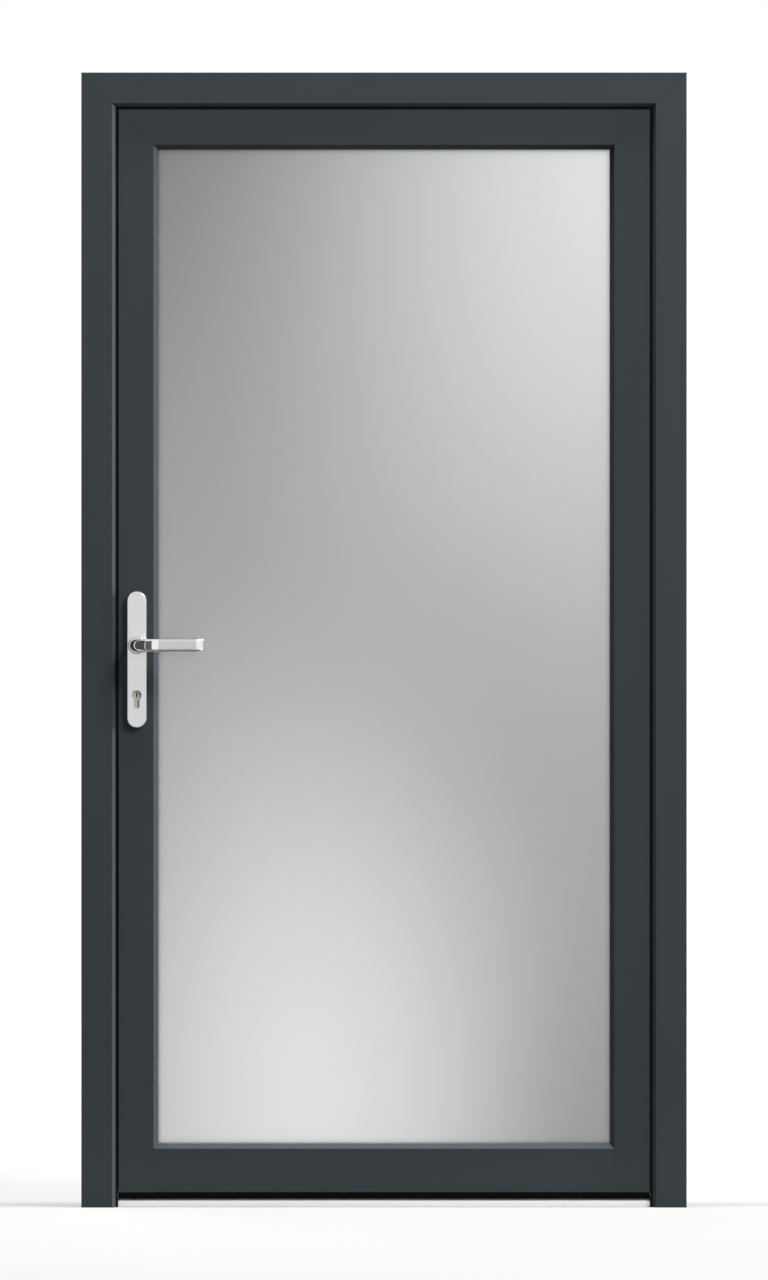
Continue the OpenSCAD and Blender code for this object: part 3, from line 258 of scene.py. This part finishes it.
# Threshold: two extruded aluminium rails clipped on an insulating core, natural anodised, so that fine lines
# run along them. It is screwed to the feet of the jambs and stands on the floor.
threshold_metal, threshold_tree, threshold_shader = finish_material("natural_anodised", (0.92, 0.92, 0.93), 0.4, 1.0)
draw_lines = mottle(threshold_tree, object_point(threshold_tree, (3, 1400, 1400)), 1.0, 2.0)
draw_colour = blend_colours(threshold_tree, draw_lines, (0.9, 0.9, 0.91), (0.96, 0.96, 0.96))
threshold_tree.links.new(draw_colour, threshold_shader.inputs["Base Color"])
threshold_tree.links.new(spread(threshold_tree, draw_lines, 0.4, 0.55), threshold_shader.inputs["Roughness"])
relief(threshold_tree, draw_lines, 0.12, 0.0001)
dressed(["threshold_outer", "threshold_inner"], threshold_metal, edge=0.0004)


# Leaf profiles and glazing beads: the same coated aluminium as the frame. Stiles and rails are mitred shells,
# and the beads snap into a groove on the inside to hold the glass.
leaf_members = [
    f"leaf_{member}_{shell}"
    for member in ("lock_stile", "hinge_stile", "top_rail", "bottom_rail")
    for shell in shells
]
beads = [f"bead_{place}" for place in ("top", "bottom", "lock_side", "hinge_side")]
dressed(leaf_members + beads, anthracite, edge=coat_edge)


# Sealed glass unit: an acid-etched outer pane, which blurs what is behind it, a clear inner pane and a dark
# spacer between them, glued at the rim.
def pane_glass(name, colour, roughness):
    glass, tree, shader = finish_material(name, colour, roughness)
    shader.inputs["Transmission Weight"].default_value = 1.0
    shader.inputs["IOR"].default_value = 1.5
    return glass, tree, shader


satin_glass, satin_tree, satin_shader = pane_glass("satin_glass", (0.95, 0.95, 0.95), 0.38)
etch = mottle(satin_tree, object_point(satin_tree), 900.0)
satin_tree.links.new(spread(satin_tree, etch, 0.34, 0.42), satin_shader.inputs["Roughness"])
relief(satin_tree, etch, 0.08, 0.00005)
dressed(["outer_pane"], satin_glass)

clear_glass, clear_tree, clear_shader = pane_glass("clear_glass", (0.97, 0.98, 0.975), 0.02)
wipe_marks = mottle(clear_tree, object_point(clear_tree, (1, 1, 3)), 4.0)
clear_tree.links.new(spread(clear_tree, wipe_marks, 0.01, 0.05), clear_shader.inputs["Roughness"])
dressed(["inner_pane"], clear_glass)

spacer_plastic, spacer_tree, spacer_shader = finish_material("warm_edge_spacer", (0.05, 0.05, 0.052), 0.5)
drying_dots = spacer_tree.nodes.new("ShaderNodeTexVoronoi")
drying_dots.inputs["Scale"].default_value = 260.0
spacer_tree.links.new(object_point(spacer_tree), drying_dots.inputs["Vector"])
dot_reach = drying_dots.outputs["Distance"]
dot_colour = blend_colours(spacer_tree, dot_reach, (0.03, 0.03, 0.031), (0.07, 0.07, 0.072))
spacer_tree.links.new(dot_colour, spacer_shader.inputs["Base Color"])
relief(spacer_tree, dot_reach, 0.3, 0.0003)
dressed(["pane_spacer"], spacer_plastic)


# Hinges: barrel hinges of steel in the coat of the profiles, screwed to the inside faces of frame and leaf.
# The pins turn in plastic bushes.
hinge_coat = coated_metal(
    "hinge_coat", (0.033, 0.04, 0.045), (0.042, 0.049, 0.054), 1300.0, (0.2, 0.00015), 0.5
)
hinge_wings = [f"hinge_{side}_wing_{at}" for side in ("frame", "leaf") for at in ("bottom", "middle", "top")]
dressed(hinge_wings + ["hinge_pins"], hinge_coat, edge=coat_edge)


# Lock case, follower, bolts and spindle: zinc-plated steel pressings and bars, hidden in the lock stile apart
# from the ends of the bolts. The plating has a soft cloudy spangle.
zinc_plate, zinc_tree, zinc_shader = finish_material("zinc_plated_steel", (0.5, 0.5, 0.5), 0.35, 1.0)
spangle = mottle(zinc_tree, object_point(zinc_tree), 130.0)
spangle_colour = blend_colours(zinc_tree, spangle, (0.4, 0.4, 0.41), (0.6, 0.6, 0.59))
zinc_tree.links.new(spangle_colour, zinc_shader.inputs["Base Color"])
zinc_tree.links.new(spread(zinc_tree, spangle, 0.28, 0.42), zinc_shader.inputs["Roughness"])
dressed(["lock_case", "lock_follower", "latch_bolt", "dead_bolt", "spindle"], zinc_plate)


# Latch spring: oiled spring steel wire, wound in seven turns round the tail of the latch bolt, between the bolt's
# shoulder and a stop in the lock case. The bolt presses it together as the lever draws the latch in.
spring_wire, spring_wire_tree, spring_wire_shader = finish_material("oiled_spring_wire", (0.3, 0.3, 0.31), 0.35, 1.0)
oil_film = mottle(spring_wire_tree, object_point(spring_wire_tree), 500.0)
spring_wire_tree.links.new(spread(spring_wire_tree, oil_film, 0.25, 0.45), spring_wire_shader.inputs["Roughness"])
spring_low, spring_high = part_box("latch_spring")
spring_middle = (spring_low + spring_high) / 2
wire_radius, spring_turns = 0.0005, 7
coil_radius = (spring_high.z - spring_low.z) / 2 - wire_radius
coil_length = spring_high.x - spring_low.x - 2 * wire_radius
coil_steps = 24 * spring_turns
spring_form = bmesh.new()
bmesh.ops.create_circle(spring_form, cap_ends=True, segments=12, radius=wire_radius)
wire_start = (spring_low.x + wire_radius, spring_middle.y + coil_radius, spring_middle.z)
bmesh.ops.translate(spring_form, verts=spring_form.verts, vec=wire_start)
bmesh.ops.spin(
    spring_form, geom=spring_form.verts[:] + spring_form.edges[:] + spring_form.faces[:], cent=spring_middle,
    axis=(1, 0, 0), dvec=(coil_length / coil_steps, 0, 0), angle=2 * math.pi * spring_turns, steps=coil_steps,
)
bmesh.ops.recalc_face_normals(spring_form, faces=spring_form.faces)
latch_coil = piece_from(spring_form, "latch_coil_spring", spring_wire, smooth=True)
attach(latch_coil, "leaf")
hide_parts("latch_spring")
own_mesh(latch_coil)


# Faceplate, strike plate and plate screws: stainless steel, brushed along its length. The two plates are strip,
# let into the edges of leaf and frame, and the screws join the two handle plates through the leaf.
brushing, brush_in, brush_out = finish_group(
    "brush lines", [("Vector", "NodeSocketVector", None)], ("Shade", "Sheen Break", "Height")
)
scratch = mottle(brushing, brush_in.outputs["Vector"], 1.0)
brushing.links.new(scratch, brush_out.inputs["Height"])
brushing.links.new(spread(brushing, scratch, 0.0, 1.0), brush_out.inputs["Shade"])
brushing.links.new(spread(brushing, scratch, 0.22, 0.34), brush_out.inputs["Sheen Break"])


def brush_lines(tree, stretch):
    lines = tree.nodes.new("ShaderNodeGroup")
    lines.node_tree = brushing
    tree.links.new(object_point(tree, stretch), lines.inputs["Vector"])
    return lines


def brushed_steel(name, stretch, dark, light, depth):
    steel, tree, shader = finish_material(name, light, 0.28, 1.0)
    lines = brush_lines(tree, stretch)
    tree.links.new(blend_colours(tree, lines.outputs["Shade"], dark, light), shader.inputs["Base Color"])
    tree.links.new(lines.outputs["Sheen Break"], shader.inputs["Roughness"])
    relief(tree, lines.outputs["Height"], depth, 0.0001)
    return steel


strip_steel = brushed_steel("brushed_strip_steel", (1600, 1600, 12), (0.55, 0.55, 0.56), (0.68, 0.68, 0.69), 0.08)
dressed(["faceplate", "strike_plate"], strip_steel, edge=0.0002)
screw_steel = brushed_steel("turned_screw_steel", (500, 500, 500), (0.5, 0.5, 0.51), (0.64, 0.64, 0.65), 0.05)
dressed(["plate_screws"], screw_steel)


# Hinge, strike and faceplate screws: rolled stainless screws with countersunk heads and pressed six-lobe
# sockets. They sit flush in the hinge wings, the strike plate and the faceplate, at the places of the solids.
def next_ring(form, ring):
    members = set(ring)
    edges = [edge for edge in form.edges if members.issuperset(edge.verts)]
    grown = bmesh.ops.extrude_edge_only(form, edges=edges)
    moved = {tuple(vert.co): vert for vert in grown["geom"] if isinstance(vert, bmesh.types.BMVert)}
    return [moved[tuple(vert.co)] for vert in ring]


def screw_form(form, head, out, radius, shank, length):
    side = out.orthogonal().normalized()
    across = out.cross(side)
    start = bmesh.ops.create_circle(form, segments=36, radius=shank)["verts"]
    ring = sorted(start, key=lambda vert: math.atan2(vert.co.y, vert.co.x) % (2 * math.pi))
    for vert in ring:
        vert.co = head - out * length + side * vert.co.x + across * vert.co.y
    rim, socket, lobe = 0.0001, 0.0016, 0.16
    steps = (
        (shank, radius - shank + rim, 0), (radius * 0.96, 3 * rim, 0), (radius, rim, 0), (radius * 0.94, 0, 0),
        (radius * 0.56, 0, 0), (radius * 0.46, 2 * rim, lobe), (radius * 0.44, socket, lobe),
    )
    for reach, depth, lobes in steps:
        ring = next_ring(form, ring)
        for k, vert in enumerate(ring):
            turn = 2 * math.pi * k / len(ring)
            arm = reach * (1 + lobes * math.cos(6 * turn))
            vert.co = head - out * depth + (side * math.cos(turn) + across * math.sin(turn)) * arm
    bmesh.ops.contextual_create(form, geom=ring)


def separate_solids(name):
    solids = bmesh.new()
    solids.from_mesh(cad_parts[name].data)
    bmesh.ops.remove_doubles(solids, verts=solids.verts, dist=0.00001)
    left_over = dict.fromkeys(solids.verts)
    while left_over:
        group = [next(iter(left_over))]
        del left_over[group[0]]
        for vert in group:
            for edge in vert.link_edges:
                other = edge.other_vert(vert)
                if other in left_over:
                    del left_over[other]
                    group.append(other)
        yield [vert.co.copy() for vert in group]
    solids.free()


flat, least_head = 0.00005, 0.0032


def screw_ends(points):
    low = Vector([min(point[k] for point in points) for k in range(3)])
    high = Vector([max(point[k] for point in points) for k in range(3)])
    axis = max(range(3), key=lambda k: high[k] - low[k])
    ends = []
    for end in (low[axis], high[axis]):
        tip = (low + high) / 2
        tip[axis] = end
        ends.append((max((point - tip).length for point in points if abs(point[axis] - end) < flat), tip))
    return ends if ends[0][0] >= ends[1][0] - flat else ends[::-1]


for screws_name, cad_screws, body in (
    ("frame_lobe_screws", "frame_screws", "frame"), ("leaf_lobe_screws", "leaf_screws", "leaf")
):
    screws_form = bmesh.new()
    for points in separate_solids(cad_screws):
        (head_radius, head), (shank_radius, foot) = screw_ends(points)
        length = (head - foot).length
        screw_form(screws_form, head, (head - foot) / length, max(head_radius, least_head), shank_radius, length)
    bmesh.ops.recalc_face_normals(screws_form, faces=screws_form.faces)
    screws = piece_from(screws_form, screws_name, screw_steel)
    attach(screws, body)
    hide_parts(cad_screws)


# Profile cylinder: a nickel-plated brass body with a plug on each side, held by one long screw through the
# faceplate. The plating is matt and a little warm; the keyway of each plug is painted black behind its mouth, a
# painted shade for its depth.
satin_nickel, nickel_tree, nickel_shader = finish_material("satin_nickel", (0.46, 0.45, 0.43), 0.45, 0.1)
nickel_shader.inputs["Specular IOR Level"].default_value = 0.2
nickel_cloud = mottle(nickel_tree, object_point(nickel_tree), 300.0)
nickel_colour = blend_colours(nickel_tree, nickel_cloud, (0.36, 0.35, 0.335), (0.48, 0.47, 0.45))
nickel_tree.links.new(nickel_colour, nickel_shader.inputs["Base Color"])
nickel_tree.links.new(spread(nickel_tree, nickel_cloud, 0.36, 0.5), nickel_shader.inputs["Roughness"])
dressed(["cylinder_body"], satin_nickel, edge=0.0004)

plug_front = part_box("outer_plug")[0].y
plug_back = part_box("inner_plug")[1].y
plug_middle, plug_half = (plug_front + plug_back) / 2, (plug_back - plug_front) / 2
plug_nickel, plug_tree, plug_shader = finish_material("plug_nickel_painted_keyway_shade", (0.5, 0.48, 0.45), 0.4, 0.1)
plug_shader.inputs["Specular IOR Level"].default_value = 0.2
plug_split = plug_tree.nodes.new("ShaderNodeSeparateXYZ")
plug_tree.links.new(object_point(plug_tree, shift=(0, -plug_middle, 0)), plug_split.inputs["Vector"])
plug_reach = plug_tree.nodes.new("ShaderNodeMath")
plug_reach.operation = "ABSOLUTE"
plug_tree.links.new(plug_split.outputs["Y"], plug_reach.inputs[0])
# Painted shade: the plug is black deeper than about half a millimetre from each face, so the keyway walls show dark.
keyway_shade_edge = (plug_half - 0.0006, plug_half - 0.0002)
painted_keyway_shade_mask = spread(plug_tree, plug_reach.outputs["Value"], 0, 1, keyway_shade_edge)
plug_colour = blend_colours(plug_tree, painted_keyway_shade_mask, (0.006, 0.006, 0.006), (0.5, 0.48, 0.45))
plug_tree.links.new(plug_colour, plug_shader.inputs["Base Color"])
plug_haze = mottle(plug_tree, object_point(plug_tree), 400.0)
plug_tree.links.new(spread(plug_tree, plug_haze, 0.35, 0.5), plug_shader.inputs["Roughness"])
dressed(["outer_plug", "inner_plug"], plug_nickel)


# Handle plates: stainless steel covers, pressed with a bevelled rim and a round collar for the lever, brushed
# along their length. One lies on each side of the leaf, and screws through the leaf hold both.
plate_steel = brushed_steel("brushed_plate_steel", (1700, 1700, 9), (0.68, 0.68, 0.69), (0.8, 0.8, 0.81), 0.08)
dressed(["outer_handle_plate", "inner_handle_plate"], plate_steel, edge=0.0003)


# Collar rings: polished stainless rings, turned from bar and pressed over the collars of the plates. Each hides
# the gap between its plate and the neck of the lever.
spindle = sum(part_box("spindle"), Vector()) / 2
collar_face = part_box("outer_handle_plate")[0].y


def moved_inside(form):
    bmesh.ops.scale(form, vec=(1, -1, 1), verts=form.verts)
    bmesh.ops.translate(form, vec=(0, 2 * spindle.y, 0), verts=form.verts)


ring_steel, ring_tree, ring_shader = finish_material("polished_ring_steel", (0.56, 0.56, 0.57), 0.12, 1.0)
ring_haze = mottle(ring_tree, object_point(ring_tree), 400.0)
ring_tree.links.new(spread(ring_tree, ring_haze, 0.08, 0.18), ring_shader.inputs["Roughness"])
ring_section = (
    (0.0163, -0.0029), (0.0163, -0.0011), (0.0160, -0.0004), (0.0154, 0.0001), (0.0147, 0.0003),
    (0.0139, 0.0002), (0.0134, -0.0004), (0.0131, -0.0013), (0.0128, -0.0019), (0.0128, -0.0029),
)
for ring_name in ("outer_collar_ring", "inner_collar_ring"):
    ring_form = bmesh.new()
    corners = [
        ring_form.verts.new((spindle.x + radius, collar_face - height, spindle.z)) for radius, height in ring_section
    ]
    loop = [ring_form.edges.new(pair) for pair in zip(corners, corners[1:] + corners[:1])]
    bmesh.ops.spin(
        ring_form, geom=corners + loop, cent=spindle, axis=(0, 1, 0), angle=2 * math.pi, steps=64, use_merge=True
    )
    if ring_name == "inner_collar_ring":
        moved_inside(ring_form)
    bmesh.ops.recalc_face_normals(ring_form, faces=ring_form.faces)
    collar_ring = piece_from(ring_form, ring_name, ring_steel, smooth=True)
    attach(collar_ring, "leaf")


# Levers: stainless bar, bent from a round neck into a flat grip whose end turns back to the leaf. The bends
# are polished and the grip is brushed along its length. Each turns with the spindle in its plate's collar.
tail_radius, tail_depth, neck_radius, neck_length = 0.009, 0.0095, 0.0124, 0.004
bend_radius, bend_steps, end_radius, end_steps, end_degrees = 0.036, 14, 0.014, 8, 80
grip_half, grip_height, grip_start, grip_end = 0.0055, 0.012, 0.041, 0.1085
round_section, grip_section = 2.0, 4.5
grip_out = neck_length + bend_radius


def lever_ring(form, ring, centre, along, half_thickness, half_height, squareness):
    across = Vector((-along.y, along.x, 0))
    ring = next_ring(form, ring)
    for k, vert in enumerate(ring):
        turn = 2 * math.pi * k / len(ring)
        c, s = math.cos(turn), math.sin(turn)
        reach = (abs(c) ** squareness + abs(s) ** squareness) ** (-1 / squareness)
        vert.co = centre + across * (half_thickness * reach * c) + Vector((0, 0, half_height * reach * s))
    return ring


def lever_form():
    form = bmesh.new()
    hub = Vector((spindle.x, collar_face, spindle.z))
    start = bmesh.ops.create_circle(form, segments=48, radius=tail_radius)["verts"]
    ring = sorted(start, key=lambda vert: math.atan2(vert.co.y, vert.co.x) % (2 * math.pi))
    bmesh.ops.rotate(form, verts=ring, cent=(0, 0, 0), matrix=Matrix.Rotation(math.pi / 2, 3, "X"))
    bmesh.ops.translate(form, verts=ring, vec=hub + Vector((0, tail_depth, 0)))
    along = Vector((0, -1, 0))
    neck = ((0.0002, tail_radius), (0.0003, 0.0119), (0.0009, 0.0125), (neck_length, neck_radius))
    for out, radius in neck:
        ring = lever_ring(form, ring, hub + along * out, along, radius, radius, round_section)
    for k in range(1, bend_steps + 1):
        share = k / bend_steps
        turn = share * math.pi / 2
        ease = share * share * (3 - 2 * share)
        centre = hub + Vector((bend_radius * (1 - math.cos(turn)), -neck_length - bend_radius * math.sin(turn), 0))
        along = Vector((math.sin(turn), -math.cos(turn), 0))
        half_thickness = neck_radius + (grip_half - neck_radius) * ease
        half_height = neck_radius + (grip_height - neck_radius) * ease
        squareness = round_section + (grip_section - round_section) * ease
        ring = lever_ring(form, ring, centre, along, half_thickness, half_height, squareness)
    along = Vector((1, 0, 0))
    for x in (grip_start, grip_start + 0.0002, 0.075, grip_end - 0.0002, grip_end):
        ring = lever_ring(form, ring, hub + Vector((x, -grip_out, 0)), along, grip_half, grip_height, grip_section)
    for k in range(1, end_steps + 1):
        turn = math.radians(end_degrees * k / end_steps)
        bend = Vector((end_radius * math.sin(turn), end_radius * (1 - math.cos(turn)), 0))
        along = Vector((math.cos(turn), math.sin(turn), 0))
        centre = hub + Vector((grip_end, -grip_out, 0)) + bend
        ring = lever_ring(form, ring, centre, along, grip_half, grip_height, grip_section)
    for inset, push in ((0.0006, 0.0004), (0.0016, 0.001)):
        tip = centre + along * push
        ring = lever_ring(form, ring, tip, along, grip_half - inset, grip_height - inset, grip_section)
    bmesh.ops.contextual_create(form, geom=ring)
    return form


lever_steel, lever_tree, lever_shader = finish_material("lever_steel", (0.7, 0.7, 0.71), 0.1, 1.0)
lever_lines = brush_lines(lever_tree, (9, 1700, 1700))
lever_split = lever_tree.nodes.new("ShaderNodeSeparateXYZ")
lever_tree.links.new(object_point(lever_tree, shift=(-spindle.x, 0, 0)), lever_split.inputs["Vector"])
brushed_start = spread(lever_tree, lever_split.outputs["X"], 0, 1, (grip_start - 0.0005, grip_start + 0.0005))
brushed_end = spread(lever_tree, lever_split.outputs["X"], 1, 0, (grip_end + 0.002, grip_end + 0.0035))


def multiplied(tree, first, second):
    product = tree.nodes.new("ShaderNodeMath")
    product.operation = "MULTIPLY"
    tree.links.new(first, product.inputs[0])
    tree.links.new(second, product.inputs[1])
    return product.outputs["Value"]


grip = multiplied(lever_tree, brushed_start, brushed_end)
satin = lever_tree.nodes.new("ShaderNodeMix")
satin.inputs["A"].default_value = 0.08
lever_tree.links.new(grip, satin.inputs["Factor"])
lever_tree.links.new(lever_lines.outputs["Sheen Break"], satin.inputs["B"])
lever_tree.links.new(satin.outputs["Result"], lever_shader.inputs["Roughness"])
lever_colour = lever_tree.nodes.new("ShaderNodeMix")
lever_colour.data_type = "RGBA"
lever_colour.inputs["A"].default_value = (0.84, 0.84, 0.85, 1)
lever_tree.links.new(grip, lever_colour.inputs["Factor"])
grip_colour = blend_colours(lever_tree, lever_lines.outputs["Shade"], (0.56, 0.56, 0.57), (0.66, 0.66, 0.67))
lever_tree.links.new(grip_colour, lever_colour.inputs["B"])
lever_tree.links.new(lever_colour.outputs["Result"], lever_shader.inputs["Base Color"])
relief(lever_tree, multiplied(lever_tree, lever_lines.outputs["Height"], grip), 0.08, 0.0001)

for lever_name, cad_lever in (("outer_lever_bar", "outer_lever"), ("inner_lever_bar", "inner_lever")):
    lever_shape = lever_form()
    if cad_lever == "inner_lever":
        moved_inside(lever_shape)
    bmesh.ops.recalc_face_normals(lever_shape, faces=lever_shape.faces)
    lever_bar = piece_from(lever_shape, lever_name, lever_steel, smooth=True)
    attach(lever_bar, "handle")
    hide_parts(cad_lever)


# Floor: a pale studio floor, which isn't part of the door. It shows near white to the camera, to metal and to
# glass, keeps the door's shadow, and throws little light back up at the profiles.
def seen_rays(tree):
    rays = tree.nodes.new("ShaderNodeLightPath")
    seen = rays.outputs["Is Camera Ray"]
    for kind in ("Is Glossy Ray", "Is Transmission Ray"):
        either = tree.nodes.new("ShaderNodeMath")
        either.operation = "MAXIMUM"
        tree.links.new(seen, either.inputs[0])
        tree.links.new(rays.outputs[kind], either.inputs[1])
        seen = either.outputs["Value"]
    return seen


floor_radius = 12
floor_paint, floor_tree, floor_shader = finish_material("pale_floor", (0.098, 0.104, 0.106), 0.95)
floor_shader.inputs["Specular IOR Level"].default_value = 0.0
floor_shader.inputs["Emission Color"].default_value = (1, 1, 1, 1)
floor_reach = floor_tree.nodes.new("ShaderNodeVectorMath")
floor_reach.operation = "LENGTH"
floor_tree.links.new(object_point(floor_tree, shift=(0, 2, 0)), floor_reach.inputs[0])
floor_glow = spread(floor_tree, floor_reach.outputs["Value"], 0.43, 0.95, (3, floor_radius))
floor_level = multiplied(floor_tree, seen_rays(floor_tree), floor_glow)
floor_tree.links.new(floor_level, floor_shader.inputs["Emission Strength"])
floor_form = bmesh.new()
bmesh.ops.create_circle(floor_form, cap_ends=True, segments=96, radius=floor_radius)
floor = piece_from(floor_form, "floor", floor_paint)
floor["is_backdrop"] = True


# Shading card and flags: flat studio cards that the camera doesn't see. Only the glass sees the card behind the
# door, from its front: it glows with soft bright and dark patches, painted light and shade for the glass. Only gloss
# sees the grey flags.
def stage_card(name, width, height, middle, turn, rays):
    material = bpy.data.materials.new(name)
    material.use_nodes = True
    tree = material.node_tree
    tree.nodes.clear()
    surface = tree.nodes.new("ShaderNodeOutputMaterial")
    glow = tree.nodes.new("ShaderNodeEmission")
    tree.links.new(glow.outputs["Emission"], surface.inputs["Surface"])
    form = bmesh.new()
    bmesh.ops.create_grid(form, x_segments=1, y_segments=1, size=0.5)
    bmesh.ops.scale(form, vec=(width, height, 1), verts=form.verts)
    bmesh.ops.rotate(form, verts=form.verts, cent=(0, 0, 0), matrix=Matrix.Rotation(turn[0], 3, "X"))
    bmesh.ops.rotate(form, verts=form.verts, cent=(0, 0, 0), matrix=Matrix.Rotation(turn[1], 3, "Z"))
    bmesh.ops.translate(form, verts=form.verts, vec=middle)
    card = piece_from(form, name, material)
    for ray in ("camera", "diffuse", "glossy", "transmission", "shadow", "volume_scatter"):
        setattr(card, f"visible_{ray}", ray in rays)
    card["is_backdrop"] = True
    return tree, glow


door_middle = (Vector(cad_box[0]) + Vector(cad_box[1])) / 2
upright = math.pi / 2
shading_card_tree, shading_card_glow = stage_card("glass_shading_card", 3.2, 3.2, (0, 0.22, door_middle.z), (upright, 0), ("transmission",))


# A soft spot on the card: painted light where its level is above zero, painted shade where it is below.
def painted_shading_patch(x, z, width, height, level):
    patch = shading_card_tree.nodes.new("ShaderNodeTexGradient")
    patch.gradient_type = "SPHERICAL"
    point = object_point(shading_card_tree, (1 / width, 0, 1 / height), (-x / width, 0, -z / height))
    shading_card_tree.links.new(point, patch.inputs["Vector"])
    soft = shading_card_tree.nodes.new("ShaderNodeMapRange")
    soft.interpolation_type = "SMOOTHSTEP"
    soft.inputs["To Max"].default_value = level
    shading_card_tree.links.new(patch.outputs["Fac"], soft.inputs["Value"])
    return soft.outputs["Result"]


# Painted light and shade for the glass: a grey base glow with two bright and two dark patches, which the satin pane
# shows as bright and dark areas.
painted_shading_base = 0.385
painted_shading_level = None
for x, z, width, height, level in (
    (0.73, 2.03, 1.47, 1.4, 0.53), (-0.14, 0.2, 0.58, 1.05, 0.47),
    (-0.42, 2.38, 0.87, 1.51, -0.35), (0.37, -0.19, 0.32, 0.91, -0.13),
):
    added = shading_card_tree.nodes.new("ShaderNodeMath")
    added.inputs[0].default_value = painted_shading_base
    if painted_shading_level:
        shading_card_tree.links.new(painted_shading_level, added.inputs[0])
    shading_card_tree.links.new(painted_shading_patch(x, z, width, height, level), added.inputs[1])
    painted_shading_level = added.outputs["Value"]
shading_card_tree.links.new(painted_shading_level, shading_card_glow.inputs["Strength"])
shading_card_side = shading_card_tree.nodes.new("ShaderNodeNewGeometry")
shading_card_clear = shading_card_tree.nodes.new("ShaderNodeBsdfTransparent")
one_sided = shading_card_tree.nodes.new("ShaderNodeMixShader")
shading_card_tree.links.new(shading_card_side.outputs["Backfacing"], one_sided.inputs["Fac"])
shading_card_tree.links.new(shading_card_glow.outputs["Emission"], one_sided.inputs[1])
shading_card_tree.links.new(shading_card_clear.outputs["BSDF"], one_sided.inputs[2])
shading_card_tree.links.new(one_sided.outputs["Shader"], shading_card_tree.nodes["Material Output"].inputs["Surface"])

for flag, width, height, middle, turn, grey in (
    ("front_flag", 1.4, 2.4, (-1.82, -2.75, 1.1), (upright, math.radians(-27)), 0.12),
    ("side_flag", 2.4, 3.6, (-2.43, -0.8, 1.1), (upright, math.radians(-80)), 0.08),
    ("low_flag", 4.4, 3.1, (0, -1.75, 0.05), (0, 0), 0.2),
):
    flag_tree, flag_glow = stage_card(flag, width, height, middle, turn, ("glossy",))
    flag_glow.inputs["Color"].default_value = (grey, grey, grey, 1)


# Studio light: a white room that fills the shadows, a soft key lamp from the upper right, two strip lamps that
# graze the slopes of the profiles, and a fill from behind for the inside.
world = bpy.data.worlds.new("studio")
bpy.context.scene.world = world
world.use_nodes = True
world_tree = world.node_tree
world_glow = world_tree.nodes["Background"]
world_glow.inputs["Color"].default_value = (1, 1, 1, 1)
world_level = spread(world_tree, seen_rays(world_tree), 0.2, 1.0, (0, 1))
world_tree.links.new(world_level, world_glow.inputs["Strength"])


def soft_lamp(name, place, target, size, power, colour, on_gloss):
    lamp = bpy.data.lights.new(name, "AREA")
    lamp.shape = "RECTANGLE"
    lamp.size, lamp.size_y = size
    lamp.energy = power
    lamp.color = colour
    holder = bpy.data.objects.new(name, lamp)
    bpy.context.scene.collection.objects.link(holder)
    holder.location = place
    holder.visible_glossy = on_gloss
    holder.visible_transmission = on_gloss
    aim = Vector(target) - holder.location
    holder.rotation_euler = aim.to_track_quat("-Z", "Y").to_euler()


white, warm = (1, 1, 1), (1, 0.92, 0.88)
soft_lamp("key", (6.6, -5.5, 8.6), (0, 0, door_middle.z), (3.2, 3.2), 1770, white, True)
soft_lamp("right_strip", (8.0, -0.45, 1.2), (0, -0.1, 1.2), (0.5, 5.0), 2750, warm, False)
soft_lamp("top_strip", (0, -0.45, 9.0), (0, -0.1, 0), (5.0, 0.5), 3150, warm, False)
soft_lamp("back_fill", (-3.5, 6.5, 5.5), (0, 0, door_middle.z), (4.0, 4.0), 780, white, False)


# Camera: straight in front of the frame at half the door's height, far away with a long lens, so that the door
# shows almost without perspective.
distance = 24.0
view_height = 2.368
camera = bpy.data.cameras.new("camera")
camera.sensor_fit = "VERTICAL"
camera.sensor_height = 36.0
camera.lens = camera.sensor_height * distance / view_height
camera_holder = bpy.data.objects.new("camera", camera)
bpy.context.scene.collection.objects.link(camera_holder)
camera_holder.location = (0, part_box("frame_head_outer")[0].y - distance, door_middle.z)
camera_holder.rotation_euler = (upright, 0, 0)
bpy.context.scene.camera = camera_holder
bpy.context.scene.view_settings.view_transform = "Standard"

boxes = {"cad": cad_box, "visual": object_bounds()}
{box: [list(map(float, corner)) for corner in corners] for box, corners in boxes.items()}
